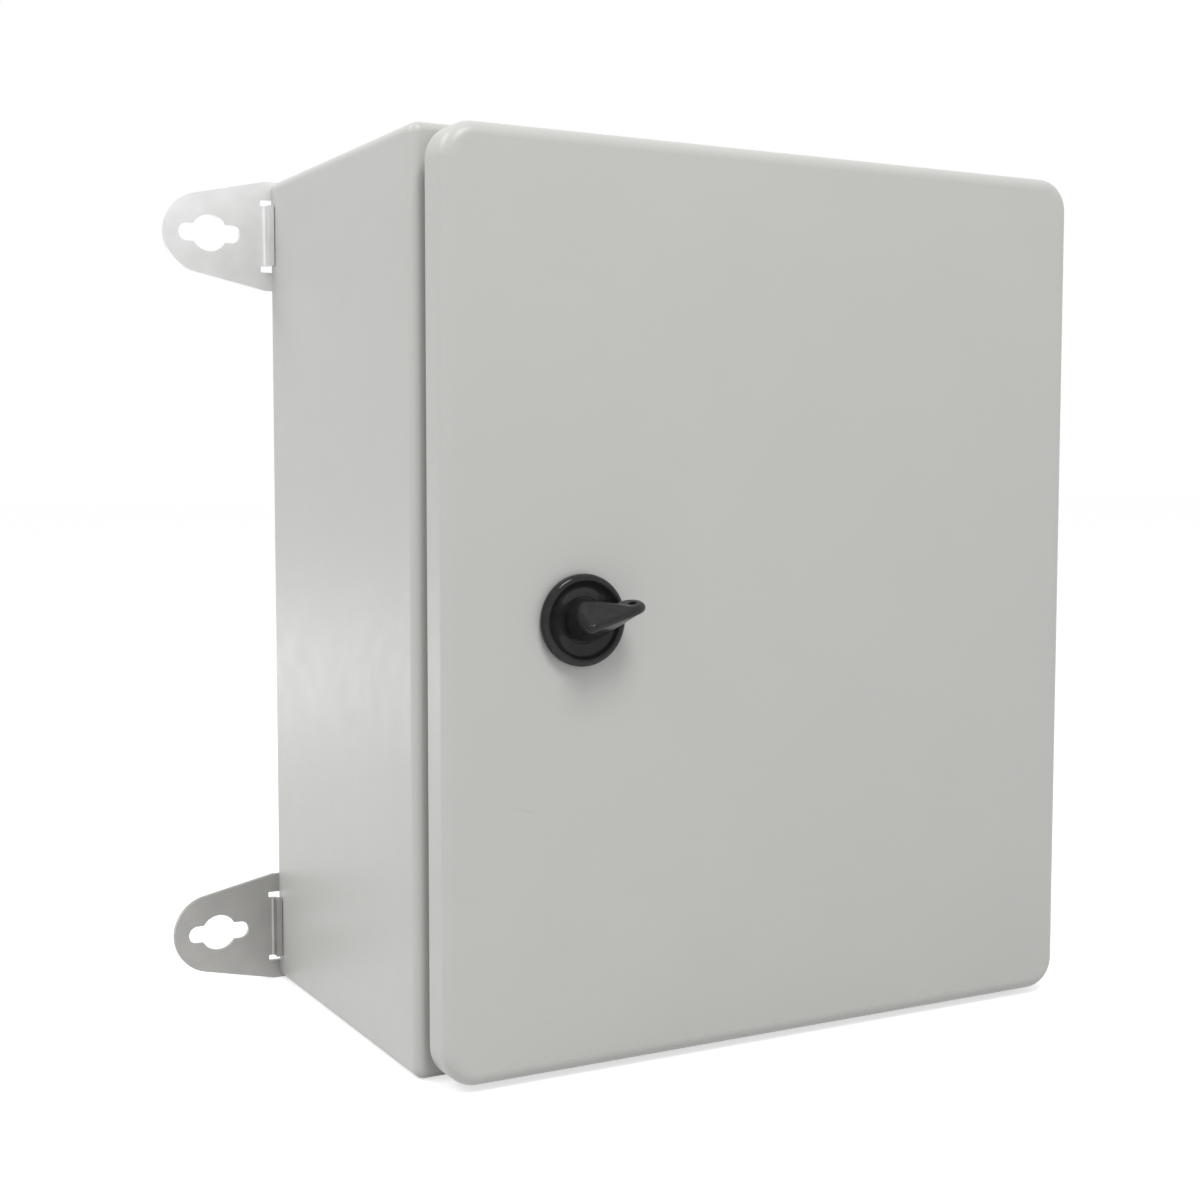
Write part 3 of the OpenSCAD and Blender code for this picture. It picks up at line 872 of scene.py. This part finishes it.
class ShapeTree(Nodes):
    """A Geometry Nodes group with named inputs, which ends in plain faces with a finish."""

    def __init__(self, name: str, **inputs: str) -> None:
        """Starts the group.

        Args:
            name: the group's name.
            inputs: each input's name and the kind of its socket, to which Finish is added.
        """
        super().__init__(bpy.data.node_groups.new(name, "GeometryNodeTree"))
        face = self.tree.interface
        face.new_socket("Geometry", in_out="INPUT", socket_type="NodeSocketGeometry")
        self.sockets = {
            key: face.new_socket(key, in_out="INPUT", socket_type="NodeSocket" + kind)
            for key, kind in {**inputs, "Finish": "Material"}.items()
        }
        face.new_socket("Geometry", in_out="OUTPUT", socket_type="NodeSocketGeometry")
        self.source = self.add("NodeGroupInput")
        self.end = self.add("NodeGroupOutput")

    def given(self, name: str = "Geometry") -> Socket:
        """The group input of that name."""
        return self.source.outputs[name]

    def shape_of(self, name: str) -> Socket:
        """The shape of the object that a group input holds."""
        return self.add("GeometryNodeObjectInfo", {"Object": self.given(name)}).outputs["Geometry"]

    def curve(self, mesh: Socket) -> Socket:
        """The edges of a mesh as curves."""
        return self.add("GeometryNodeMeshToCurve", {"Mesh": mesh}).outputs[0]

    def chance(self, low: object, high: object) -> Socket:
        """A random number for each point, from the group's Seed, between two values."""
        wires = {2: low, 3: high, "Seed": self.given("Seed")}
        return self.add("FunctionNodeRandomValue", wires, data_type="FLOAT").outputs[1]

    def stamp(self, **wires: Socket) -> None:
        """Sets copies of a shape on points and ends the group.

        Args:
            wires: the inputs of Instance on Points and their sources.
        """
        self.close(self.add("GeometryNodeInstanceOnPoints", wires).outputs[0])

    def close(self, geometry: Socket) -> None:
        """Ends the group in Realize Instances and Set Material.

        Args:
            geometry: the shape to finish.
        """
        real = self.add("GeometryNodeRealizeInstances", {0: geometry})
        wires = {"Geometry": real.outputs[0], "Material": self.given("Finish")}
        self.feed(self.end.inputs[0], self.add("GeometryNodeSetMaterial", wires).outputs[0])

    def run(self, name: str, mesh: Mesh, **values: object) -> Object:
        """Evaluates the group on a mesh and keeps the result as a plain object.

        Args:
            name: the result's name.
            mesh: the group's input geometry.
            values: each input's name and value.

        Returns:
            The new object.
        """
        holder = linked(name + ".maker", mesh)
        modifier = holder.modifiers.new("maker", "NODES")
        modifier.node_group = self.tree
        for key, value in values.items():
            modifier[self.sockets[key].identifier] = value
        return baked(name, holder)


class FastenerTree(ShapeTree):
    """Sets one master fastener on every point, each turned a little differently."""

    any_turn: float = 6.28
    stud_lead: float = 0.6 * MM
    nut_gap: float = 0.1 * MM

    def __init__(self, bright: Material) -> None:
        """Builds the group.

        Args:
            bright: the finish that fasteners have unless told otherwise.
        """
        self.bright = bright
        super().__init__(
            "fastener_set", Master="Object", Facing="Rotation", Twist="Float", Seed="Int"
        )
        spin = self.add("ShaderNodeCombineXYZ", {"Z": self.chance(0.0, self.given("Twist"))})
        turn = self.add("FunctionNodeEulerToRotation", {0: spin.outputs[0]})
        aim = self.add(
            "FunctionNodeRotateRotation", {0: self.given("Facing"), 1: turn.outputs[0]},
            rotation_space="LOCAL",
        )
        self.stamp(
            Points=self.given(), Instance=self.shape_of("Master"), Rotation=aim.outputs[0]
        )

    def put(
        self, node: str, body: str, master: BMesh, points: Sequence[Vector],
        facing: Facing, seed: int, twist: float = any_turn, ending: str = "_turned",
        finish: Material | None = None, slot: str = "bright_steel",
    ) -> None:
        """Makes a whole set as one mesh, in place of a node's plain ones.

        Args:
            node: the node that holds them.
            body: the body that they move with.
            master: the fastener about +Z, which is freed.
            points: where each one's Z = 0 goes.
            facing: which way its +Z points.
            seed: seed of the random turns.
            twist: the largest turn, in radians.
            ending: what the set's name adds to the node's.
            finish: the set's material, or None for the bright one.
            slot: the record's material slot.
        """
        name = node + ending
        sample = mesh_object(name + ".master", master)
        spots = bpy.data.meshes.new(name + ".points")
        spots.from_pydata([tuple(p) for p in points], [], [])
        made = self.run(
            name, spots, Master=sample, Facing=facing.value, Twist=twist, Seed=seed,
            Finish=finish or self.bright,
        )
        bpy.data.objects.remove(sample)
        finish_piece(made, body, slot, node)

    def studs(self, node: str, body: str, facing: Facing, pitch: float, seed: int) -> None:
        """Builds threaded studs in place of plain ones.

        Args:
            node: the node that holds them.
            body: the body that they move with.
            facing: which way they stand.
            pitch: their thread's pitch.
            seed: seed of the group's turns, which studs leave at none.
        """
        solids = loose_solids(frame["nodes"][node])
        rod = threaded(
            solids[0].size.x / 2, pitch, solids[0].length(facing), self.stud_lead
        )
        points = [solid.end(facing) for solid in solids]
        self.put(node, body, rod, points, facing, seed, 0.0, ending="_threaded")

    def nuts(self, node: str, body: str, facing: Facing, thread_r: float, seed: int) -> None:
        """Builds chamfered nuts in place of plain ones.

        Args:
            node: the node that holds them.
            body: the body that they move with.
            facing: which way they face.
            thread_r: radius of the thread that they run on.
            seed: seed of their turns.
        """
        solids = loose_solids(frame["nodes"][node])
        nut = hexagon_body(
            solids[0].size.x / 2, solids[0].length(facing), thread_r + self.nut_gap
        )
        self.put(node, body, nut, [solid.end(facing) for solid in solids], facing, seed)


class SealTree(ShapeTree):
    """Sweeps a section along a path, with the slow swell of poured foam."""

    full: float = 0.62

    def __init__(self) -> None:
        """Builds the group, where the seal swells as far as its noise passes full."""
        super().__init__(
            "poured_seal", Section="Object", Swell="Float", Wave="Float", Bed="Float"
        )
        sweep = self.add("GeometryNodeCurveToMesh", {
            "Curve": self.curve(self.given()),
            "Profile Curve": self.curve(self.shape_of("Section")),
        })
        place = self.add("GeometryNodeInputPosition").outputs[0]
        rate = self.maths("DIVIDE", 1.0, self.given("Wave"))
        noise = self.add("ShaderNodeTexNoise", {"Vector": place, "Scale": rate})
        centred = self.maths("SUBTRACT", noise.outputs["Fac"], self.full)
        amount = self.maths("MULTIPLY", centred, self.given("Swell"))
        normal = self.add("GeometryNodeInputNormal").outputs[0]
        push = self.add("ShaderNodeVectorMath", {0: normal, "Scale": amount}, operation="SCALE")
        depth = self.add("ShaderNodeSeparateXYZ", {0: place}).outputs["Y"]
        shift = self.add("GeometryNodeSetPosition", {
            "Geometry": sweep.outputs[0],
            "Selection": self.maths("GREATER_THAN", depth, self.given("Bed")),
            "Offset": push.outputs[0],
        })
        self.close(shift.outputs[0])


class WeldTree(ShapeTree):
    """Lays one ripple after another along each edge of a mesh, as a stitch weld."""

    def __init__(self) -> None:
        """Builds the group."""
        super().__init__(
            "weld_stitches", Ripple="Object", Pitch="Float", Uneven="Float", Seed="Int"
        )
        wires = {"Curve": self.curve(self.given()), "Length": self.given("Pitch")}
        dots = self.add("GeometryNodeCurveToPoints", wires, mode="LENGTH")
        least = self.maths("SUBTRACT", 1.0, self.given("Uneven"))
        self.stamp(
            Points=dots.outputs["Points"], Instance=self.shape_of("Ripple"),
            Rotation=dots.outputs["Rotation"], Scale=self.chance(least, 1.0),
        )


# ---- Sub-assemblies ----


@dataclass
class Part:
    """A sub-assembly with the finishes and fasteners that all of them share."""

    finishes: Finishes
    fasteners: FastenerTree


@dataclass
class WingLock(Part):
    """Quarter-turn lock: dished rose on a threaded barrel, wing knob, nut and cam."""

    rose_r: float = 14.6 * MM
    rose_floor: float = 2.3 * MM
    rose_rim_r: float = 1.5 * MM
    rose_dish: tuple[Span, ...] = (
        (1.7 * MM, 0.5 * MM), (2.4 * MM, 0.22 * MM), (3.3 * MM, 0.06 * MM), (4.6 * MM, 0.0),
    )
    rose_edge: float = 0.35 * MM
    rose_foot_in: float = 0.3 * MM
    rose_sink: float = 0.2 * MM
    running_gap: float = 0.06 * MM
    clearance: float = 0.5 * MM
    lead_in: float = 0.2 * MM
    housing_r: float = 11 * MM
    housing_pitch: float = 1.5 * MM
    housing_flats: float = 20 * MM
    cam_screw_r: float = 2.5 * MM
    cam_screw_pitch: float = 0.8 * MM
    spindle_r: float = 5 * MM
    square_w: float = 7 * MM
    hub_r: float = 6.8 * MM
    hub_h: float = 6.5 * MM
    hub_start: float = 0.4 * MM
    hub_round: float = 1 * MM
    hub_bevel: float = 0.3 * MM
    ridge_h: float = 17 * MM
    ridge_r: float = 1.5 * MM
    ridge_back: float = 4 * MM
    wing_angle: float = math.radians(17)
    wing_reach: float = 11.2 * MM
    lobe_r: float = 5.8 * MM
    wing_t: float = 5.8 * MM
    hole_r: float = 1.3 * MM
    hole_past: float = 1.5 * MM
    drill_reach: float = 6 * MM
    skin: float = 0.24 * MM
    soft_passes: int = 12
    soft_factor: float = 0.6

    def __post_init__(self) -> None:
        """Finds the lock's axis and the planes that its pieces stand on."""
        joint = next(j for j in frame["joints"] if j["name"] == "lock_turn")
        self.axis = Vector(joint["pos_m"])
        self.face_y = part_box("door_panel")[0].y
        self.rear_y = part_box("lock_housing")[1].y

    def build(self) -> None:
        """Builds and dresses the whole lock."""
        self.rose()
        self.knob()
        nut = Solid(*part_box("lock_nut"))
        body = hexagon_body(
            nut.size.x / 2, nut.size.y, self.housing_r + self.fasteners.nut_gap
        )
        self.fasteners.put(
            "lock_nut", "door", body, [self.on_axis_at(nut.low.y)], Facing.WALL, 3, 0.0,
            finish=self.finishes.plate, slot="zinc_plated",
        )
        dress(self.finishes.rubber, "lock_rose_seal")
        dress(self.finishes.plate, "lock_cam")
        dress(self.finishes.bright, "cam_washer")
        screw = Solid(*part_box("cam_screw"))
        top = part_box("cam_washer")[1].y
        head = hexagon_body(screw.size.x / 2, screw.high.y - top, both=False)
        shank = threaded(self.cam_screw_r, self.cam_screw_pitch, top - screw.low.y, 0.0)
        bmesh.ops.translate(shank, verts=shank.verts, vec=(0, 0, screw.low.y - top))
        self.fasteners.put(
            "cam_screw", "latch", merged([head, shank]), [self.on_axis_at(top)],
            Facing.WALL, 5, 0.0,
        )

    def on_axis_at(self, y: float) -> Vector:
        """The point of the lock's axis at that depth."""
        return Vector((self.axis.x, y, self.axis.z))

    def moulded(self, name: str, body: str, shape: BMesh, crease: float, node: str) -> None:
        """Stands a black moulding on the door's face, in place of a node.

        Args:
            name: the new piece's name.
            body: the body that it moves with.
            shape: the moulding, with +Z to the viewer along the lock's axis.
            crease: edges sharper than this angle, in degrees, stay sharp.
            node: the node that it stands for.
        """
        place = Matrix.Translation(self.on_axis_at(self.face_y)) @ QUARTER
        made = mesh_object(name, shape, crease, place)
        coat(made, self.finishes.black)
        finish_piece(made, body, "black_gloss", node)

    def rose(self) -> None:
        """Builds the rose and its threaded barrel as one moulding."""
        seat = self.face_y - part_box("lock_rose_seal")[0].y
        tip = self.rose_r - self.rose_rim_r
        crown, sunk = self.rose_floor, self.rose_floor - self.rose_sink
        bore = self.spindle_r + self.running_gap
        outline = [
            (self.spindle_r + self.clearance, seat), (tip, seat),
            (self.rose_r - self.rose_foot_in, seat), (self.rose_r, seat + self.rose_edge),
        ]
        for angle in (math.radians(14 * step) for step in range(11)):
            outline.append((
                tip + self.rose_rim_r * math.cos(angle),
                crown + self.rose_rim_r * math.sin(angle),
            ))
        outline += [(tip - inward, crown + lift) for inward, lift in self.rose_dish]
        well = self.hub_r + self.clearance
        outline += [
            (well + self.lead_in, crown), (well, sunk), (bore + self.lead_in, sunk),
            (bore, sunk - self.lead_in), (bore, seat),
        ]
        rose = loft([ring(r, z, 96) for r, z in outline], closed=True)
        barrel = threaded(
            self.housing_r, self.housing_pitch, self.rear_y - self.face_y,
            self.fasteners.stud_lead, self.housing_flats,
        )
        self.moulded("lock_rose", "door", merged([rose, hung(barrel, seat)]), 30.0, "lock_housing")

    def knob(self) -> None:
        """Builds the wing knob with its soft moulded fillets, and its spindle."""
        depth = self.face_y - self.rear_y
        across = self.square_w * math.sqrt(0.5)
        spindle = loft([
            ring(self.spindle_r, self.clearance), ring(self.spindle_r, depth - self.lead_in),
        ])
        square = loft([
            ring(across, depth, sides=4),
            ring(across, self.face_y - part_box("wing_knob")[1].y, sides=4),
        ])
        turn = Matrix.Rotation(math.pi / 4, 3, "Z")
        bmesh.ops.rotate(square, verts=square.verts, matrix=turn)
        shell = self.wing()
        grip = bmesh.new()
        grip.from_mesh(shell.data)
        bpy.data.meshes.remove(shell.data)
        turn = Matrix.Rotation(self.wing_angle, 4, "Z")
        bmesh.ops.transform(grip, matrix=turn, verts=grip.verts)
        whole = merged([grip, spindle, square])
        self.moulded("wing_knob_moulded", "latch", whole, 38.0, "wing_knob")

    def wing(self) -> Object:
        """Moulds the hub and the wing as one skin, with the hole through the wing.

        Returns:
            A plain object about +Z, with the wing towards +X.
        """
        edge, middle = self.wing_t / 2, self.ridge_h - self.lobe_r
        crest = self.ridge_h - self.ridge_r
        steps = (
            (0.0, self.hub_start), (0.0, self.hub_h - self.hub_round),
            (self.hub_bevel, self.hub_h - self.hub_bevel), (self.hub_round, self.hub_h),
        )
        hub = [point for inward, z in steps for point in ring(self.hub_r - inward, z, 64)]
        for reach in (-self.ridge_back, self.wing_reach):
            hub += ball(Vector((reach, 0, crest)), self.ridge_r)
        lobe = []
        for around in (2 * math.pi * step / 40 for step in range(40)):
            thin = edge - (edge - self.ridge_r) * (1 + math.sin(around)) / 2
            inward = self.lobe_r - thin
            reach = self.wing_reach + inward * math.cos(around)
            lobe += ball(Vector((reach, 0, middle + inward * math.sin(around))), thin, 12)
        lobe += ball(Vector((0, 0, middle)), edge)
        body = mesh_object("knob.body", merged([convex(hub), convex(lobe)]))
        hole = loft([ring(self.hole_r, -self.drill_reach), ring(self.hole_r, self.drill_reach)])
        spot = (self.wing_reach + self.hole_past, 0, middle + self.hole_past)
        cutter = mesh_object("knob.hole", hole, place=Matrix.Translation(spot) @ QUARTER)
        remesh = body.modifiers.new("skin", "REMESH")
        remesh.mode = "VOXEL"
        remesh.voxel_size = self.skin
        smooth = body.modifiers.new("soften", "SMOOTH")
        smooth.iterations = self.soft_passes
        smooth.factor = self.soft_factor
        drill = body.modifiers.new("drill", "BOOLEAN")
        drill.operation = "DIFFERENCE"
        drill.object = cutter
        shell = baked("wing_knob_moulded", body)
        bpy.data.objects.remove(cutter)
        return shell


@dataclass
class Casing(Part):
    """The folded body with its back, gland plate, mounting plate and stitch welds."""

    stitch: float = 28 * MM
    side_shares: tuple[float, ...] = (-0.66, 0.0, 0.66)
    end_shares: tuple[float, ...] = (-0.62, 0.0, 0.62)
    weld_r: float = 1.7 * MM
    weld_flat: float = 0.62
    weld_in: float = 0.8 * MM
    weld_pitch: float = 1.5 * MM
    weld_uneven: float = 0.12
    stud_r: float = 3.0 * MM
    stud_pitch: float = 1.0 * MM
    gland_r: float = 2.5 * MM
    gland_pitch: float = 0.8 * MM

    def build(self) -> None:
        """Dresses the sheet metal and builds its fasteners."""
        dress(self.finishes.coat, "body_shell", "back_panel", "gland_plate")
        dress(self.finishes.galvanised, "mounting_plate")
        dress(self.finishes.rubber, "gland_seal")
        dress(self.finishes.bright, "plate_spacers", "plate_washers")
        for node in ("plate_studs", "body_earth_stud"):
            self.fasteners.studs(node, "root", Facing.VIEWER, self.stud_pitch, 21)
        self.fasteners.studs("gland_studs", "root", Facing.UP, self.gland_pitch, 21)
        self.fasteners.nuts("plate_nuts", "root", Facing.VIEWER, self.stud_r, 11)
        self.fasteners.nuts("body_earth_nut", "root", Facing.VIEWER, self.stud_r, 12)
        self.fasteners.nuts("gland_nuts", "root", Facing.UP, self.gland_r, 13)
        self.welds()

    def welds(self) -> None:
        """Lays the stitch welds that hold the back panel in the body."""
        low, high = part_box("back_panel")
        high = high - Vector((self.weld_in, 0, self.weld_in))
        half = (-self.stitch / 2, self.stitch / 2)
        ends = []
        for sign in (-1, 1):
            for share, step in product(self.side_shares, half):
                ends.append(Vector((sign * high.x, low.y, share * high.z + step)))
            for share, step in product(self.end_shares, half):
                ends.append(Vector((share * high.x + step, low.y, sign * high.z)))
        ripple = bmesh.new()
        bmesh.ops.create_icosphere(ripple, subdivisions=2, radius=self.weld_r)
        bmesh.ops.scale(ripple, vec=(1.0, 1.0, self.weld_flat), verts=ripple.verts)
        master = mesh_object("weld.ripple", ripple, 60.0)
        made = WeldTree().run(
            "weld_stitches", edge_loop("weld.path", ends, closed=False), Ripple=master,
            Pitch=self.weld_pitch, Uneven=self.weld_uneven, Seed=17, Finish=self.finishes.coat,
        )
        bpy.data.objects.remove(master)
        finish_piece(made, "root", "powder_coat")


@dataclass
class WallBrackets(Part):
    """Four plated brackets with their bolts and sealing washers."""

    bolt_r: float = 4 * MM
    bolt_pitch: float = 1.25 * MM

    def build(self) -> None:
        """Dresses the brackets and builds the bolts."""
        # The upper pair gets the plating painted lighter as a painted reflection, and the lower
        # pair gets it painted darker as painted shade.
        dress(self.finishes.clear, "bracket_top_left", "bracket_top_right")
        dress(self.finishes.plate_painted_shade, "bracket_bottom_left", "bracket_bottom_right")
        dress(self.finishes.rubber, "bracket_seal_washers")
        bolts = loose_solids(frame["nodes"]["bracket_bolts"])
        seat = loose_solids(frame["nodes"]["bracket_seal_washers"])[0].low.y
        head = seat - bolts[0].low.y
        screw = hexagon_body(bolts[0].size.x / 2, head, both=False)
        shank = threaded(
            self.bolt_r, self.bolt_pitch, bolts[0].size.y - head, self.fasteners.stud_lead
        )
        points = [Vector((bolt.middle.x, seat, bolt.middle.z)) for bolt in bolts]
        self.fasteners.put(
            "bracket_bolts", "root", merged([screw, hung(shank)]), points, Facing.VIEWER, 41
        )


@dataclass
class Hinges(Part):
    """Two concealed hinges with countersunk screws and nuts."""

    screw_r: float = 2 * MM
    screw_pitch: float = 0.7 * MM
    screw_lead: float = 0.4 * MM
    neck: float = 0.3 * MM
    rim: float = 0.15 * MM
    rim_in: float = 0.1 * MM
    socket_r: float = 1.4 * MM
    socket_lead: float = 0.2 * MM
    socket_depth: float = 1.2 * MM
    socket_tip: float = 0.25 * MM

    def build(self) -> None:
        """Dresses the leaves and pins and builds their screws."""
        for row in ("upper", "lower"):
            dress(self.finishes.plate, f"hinge_leaf_body_{row}", f"hinge_leaf_door_{row}")
            dress(self.finishes.bright, f"hinge_pin_{row}")
        self.screws("body_leaf_screws", "root", Facing.VIEWER, 51)
        self.screws("door_leaf_screws", "door", Facing.WALL, 52)
        for node, body, seed in (("body_leaf_nuts", "root", 53), ("door_leaf_nuts", "door", 54)):
            self.fasteners.nuts(node, body, Facing.VIEWER, self.screw_r, seed)

    def screws(self, node: str, body: str, facing: Facing, seed: int) -> None:
        """Builds countersunk screws with a hexagon socket.

        Args:
            node: the node that holds the plain ones.
            body: the body that they move with.
            facing: which way their heads face.
            seed: seed of their turns.
        """
        solids = loose_solids(frame["nodes"][node])
        head_r = solids[0].size.x / 2
        cone = head_r - self.screw_r
        head = loft([
            ring(self.screw_r, -cone - self.neck), ring(self.screw_r, -cone),
            ring(head_r - self.rim_in, -self.rim), ring(head_r - self.rim_in, 0),
            ring(self.socket_r + self.socket_lead, 0),
            ring(self.socket_r + self.socket_lead / 4, -self.socket_lead / 2, sides=6),
            ring(self.socket_r, -self.socket_depth, sides=6),
            ring(self.socket_r / 2, -self.socket_depth - self.socket_tip),
        ])
        shank = threaded(
            self.screw_r, self.screw_pitch, solids[0].size.y - cone, self.screw_lead
        )
        points = [solid.end(facing, far=True) for solid in solids]
        self.fasteners.put(node, body, merged([head, hung(shank, -cone)]), points, facing, seed)


@dataclass
class Door(Part):
    """The flanged door with its foamed seal and earth stud."""

    seal_w: float = 10 * MM
    seal_past: float = 2 * MM
    seal_step: float = 4 * MM
    seal_foot: float = 0.2 * MM
    seal_foot_in: float = 0.4 * MM
    seal_skirt: float = 0.9 * MM
    swell: float = 0.7 * MM
    wave: float = 16 * MM
    bed: float = 0.5 * MM
    stud_r: float = 3.0 * MM
    stud_pitch: float = 1.0 * MM

    def build(self) -> None:
        """Dresses the door and its seal."""
        dress(self.finishes.door_coat, "door_panel")
        self.seal()
        self.fasteners.studs("door_earth_stud", "door", Facing.WALL, self.stud_pitch, 31)
        self.fasteners.nuts("door_earth_nut", "door", Facing.WALL, self.stud_r, 32)

    def seal(self) -> None:
        """Pours the foamed seal round the door's inside."""
        low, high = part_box("door_seal")
        section = linked(
            "seal.section", edge_loop("seal.section", self.seal_outline(high.y - low.y))
        )
        made = SealTree().run(
            "door_seal_poured", edge_loop("seal.path", self.seal_path(low, high)),
            Section=section, Swell=self.swell, Wave=self.wave, Bed=low.y + self.bed,
            Finish=self.finishes.foam,
        )
        bpy.data.objects.remove(section)
        turned_out(made)
        finish_piece(made, "door", "foam_seal", "door_seal")

    def seal_path(self, low: Vector, high: Vector) -> list[Vector]:
        """A rounded rectangle along the seal's middle, in short steps.

        Args:
            low: lowest corner of the seal's box.
            high: highest corner of the seal's box.

        Returns:
            The path's points.
        """
        half = self.seal_w / 2
        turn = self.seal_w + self.seal_past - half
        reach_x, reach_z = high.x - half - turn, high.z - half - turn
        corners = []
        for index, (sx, sz) in enumerate(((1, -1), (1, 1), (-1, 1), (-1, -1))):
            for step in range(9):
                angle = math.radians(90 * (index - 1) + 90 * step / 8)
                corners.append(Vector((
                    sx * reach_x + turn * math.cos(angle), low.y,
                    sz * reach_z + turn * math.sin(angle),
                )))
        path = []
        for start, stop in zip(corners, corners[1:] + corners[:1]):
            parts = max(1, round((stop - start).length / self.seal_step))
            path += [start.lerp(stop, part / parts) for part in range(parts)]
        return path

    def seal_outline(self, height: float) -> list[Vector]:
        """The seal's section: a half round on two flanks, with a drawn-in foot.

        Args:
            height: height of the section.

        Returns:
            The section's points, with its foot at X = 0.
        """
        half = self.seal_w / 2
        foot = [(-self.seal_foot, half - self.seal_foot_in), (-self.seal_skirt, half)]
        crown = [
            (half - height - half * math.sin(angle), half * math.cos(angle))
            for angle in (math.radians(10 * step) for step in range(19))
        ]
        back = [(x, -y) for x, y in reversed(foot)]
        return [Vector((x, y, 0)) for x, y in (*foot, *crown, *back)]


# ---- Camera, lamps and surround ----


@dataclass(frozen=True)
class Lamp:
    """A rectangular lamp, with its sides in metres and its power in watts."""

    name: str
    spot: Point
    aim: Point
    width: float
    height: float
    power: float

    def build(self) -> None:
        """Adds the lamp, facing its aim and hidden from the camera."""
        data = bpy.data.lights.new(self.name, "AREA")
        data.shape = "RECTANGLE"
        data.size, data.size_y, data.energy = self.width, self.height, self.power
        lamp = linked(self.name, data)
        lamp.location = self.spot
        facing = Vector(self.spot) - Vector(self.aim)
        lamp.rotation_euler = facing.to_track_quat("Z", "Y").to_euler()
        lamp.visible_camera = False


@dataclass
class Studio:
    """Camera, soft lights, pale floor and backdrop."""

    camera_at: Point = (-0.33733, -0.64977, 0.04206)
    aim_at: Point = (-0.06999, -0.157, 0.00249)
    roll: float = math.radians(0.05)
    lens: float = 53.465
    floor_gap: float = 0.1 * MM
    floor_reach: float = 12.0
    floor_colour: Colour = (0.62, 0.62, 0.62)
    floor_lift: float = 0.64
    ambient: float = 0.57
    lamps: tuple[Lamp, ...] = (
        Lamp("key", (-0.18, -0.95, 1.1), (-0.08, -0.15, 0.05), 0.5, 0.4, 9.6),
        Lamp("side", (-1.1, 0.3, 1.1), (-0.1, -0.05, 0.05), 0.7, 0.7, 8.4),
        Lamp("low", (-0.365, 0.59, -0.1), (-0.125, -0.07, -0.025), 0.4, 0.07, 0.2),
    )

    def build(self) -> None:
        """Sets up everything that isn't part of the object."""
        bpy.context.scene.view_settings.view_transform = "Standard"
        self.camera()
        self.backdrop()
        self.floor()
        for lamp in self.lamps:
            lamp.build()

    def camera(self) -> None:
        """Adds the camera."""
        data = bpy.data.cameras.new("camera")
        data.lens = self.lens
        data.sensor_width = 36.0
        data.clip_start = 0.01
        camera = linked("camera", data)
        back = (Vector(self.camera_at) - Vector(self.aim_at)).normalized()
        right = Vector((0, 0, 1)).cross(back).normalized()
        up = back.cross(right)
        across = math.cos(self.roll) * right + math.sin(self.roll) * up
        above = -math.sin(self.roll) * right + math.cos(self.roll) * up
        turned = Matrix((across, above, back)).transposed().to_4x4()
        camera.matrix_world = Matrix.Translation(self.camera_at) @ turned
        bpy.context.scene.camera = camera

    @staticmethod
    def seen_directly(nodes: Nodes) -> Socket:
        """A value of 1 for rays that show the background itself, and 0 for its light.

        Args:
            nodes: the tree that gets the nodes.

        Returns:
            The value.
        """
        path = nodes.add("ShaderNodeLightPath")
        seen = path.outputs["Is Camera Ray"]
        for kind in ("Is Glossy Ray", "Is Transmission Ray"):
            seen = nodes.maths("MAXIMUM", seen, path.outputs[kind])
        return seen

    def backdrop(self) -> None:
        """A white surround that the camera and shiny surfaces see."""
        world = bpy.data.worlds.new("surround")
        world.use_nodes = True
        bpy.context.scene.world = world
        nodes = Nodes(world.node_tree)
        nodes.tree.nodes.clear()
        wires = {0: self.seen_directly(nodes)}
        for slot, strength in ((1, self.ambient), (2, 1.0)):
            plain = nodes.add("ShaderNodeBackground", {0: opaque((1.0, 1.0, 1.0)), 1: strength})
            wires[slot] = plain.outputs[0]
        mix = nodes.add("ShaderNodeMixShader", wires)
        nodes.add("ShaderNodeOutputWorld", {0: mix.outputs[0]})

    def floor(self) -> None:
        """A pale floor just under the object, which shows white but keeps its shadow."""
        low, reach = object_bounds()[0][2] - self.floor_gap, self.floor_reach
        mesh = bpy.data.meshes.new("floor")
        signs = ((-1, -1), (1, -1), (1, 1), (-1, 1))
        mesh.from_pydata([(sx * reach, sy * reach, low) for sx, sy in signs], [], [(0, 1, 2, 3)])
        floor = linked("floor", mesh)
        shader = Shader("floor")
        shader.constants(Base_Color=self.floor_colour, Roughness=0.9, Specular_IOR_Level=0.0)
        amount = shader.maths("MULTIPLY", self.seen_directly(shader), self.floor_lift)
        lift = shader.add("ShaderNodeEmission", {"Strength": amount})
        wires = {0: shader.surface.outputs[0], 1: lift.outputs[0]}
        both = shader.add("ShaderNodeAddShader", wires)
        shader.feed(shader.end.inputs["Surface"], both.outputs[0])
        mesh.materials.append(shader.material)
        floor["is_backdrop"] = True


def main() -> None:
    """Builds the classes in order."""
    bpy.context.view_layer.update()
    finishes = Finishes()
    fasteners = FastenerTree(finishes.bright)
    for part in (Casing, WallBrackets, Hinges, Door, WingLock):
        part(finishes, fasteners).build()
    Studio().build()


if __name__ == "__main__":
    logging.basicConfig(level=logging.INFO, format="%(name)s: %(message)s")
    main()
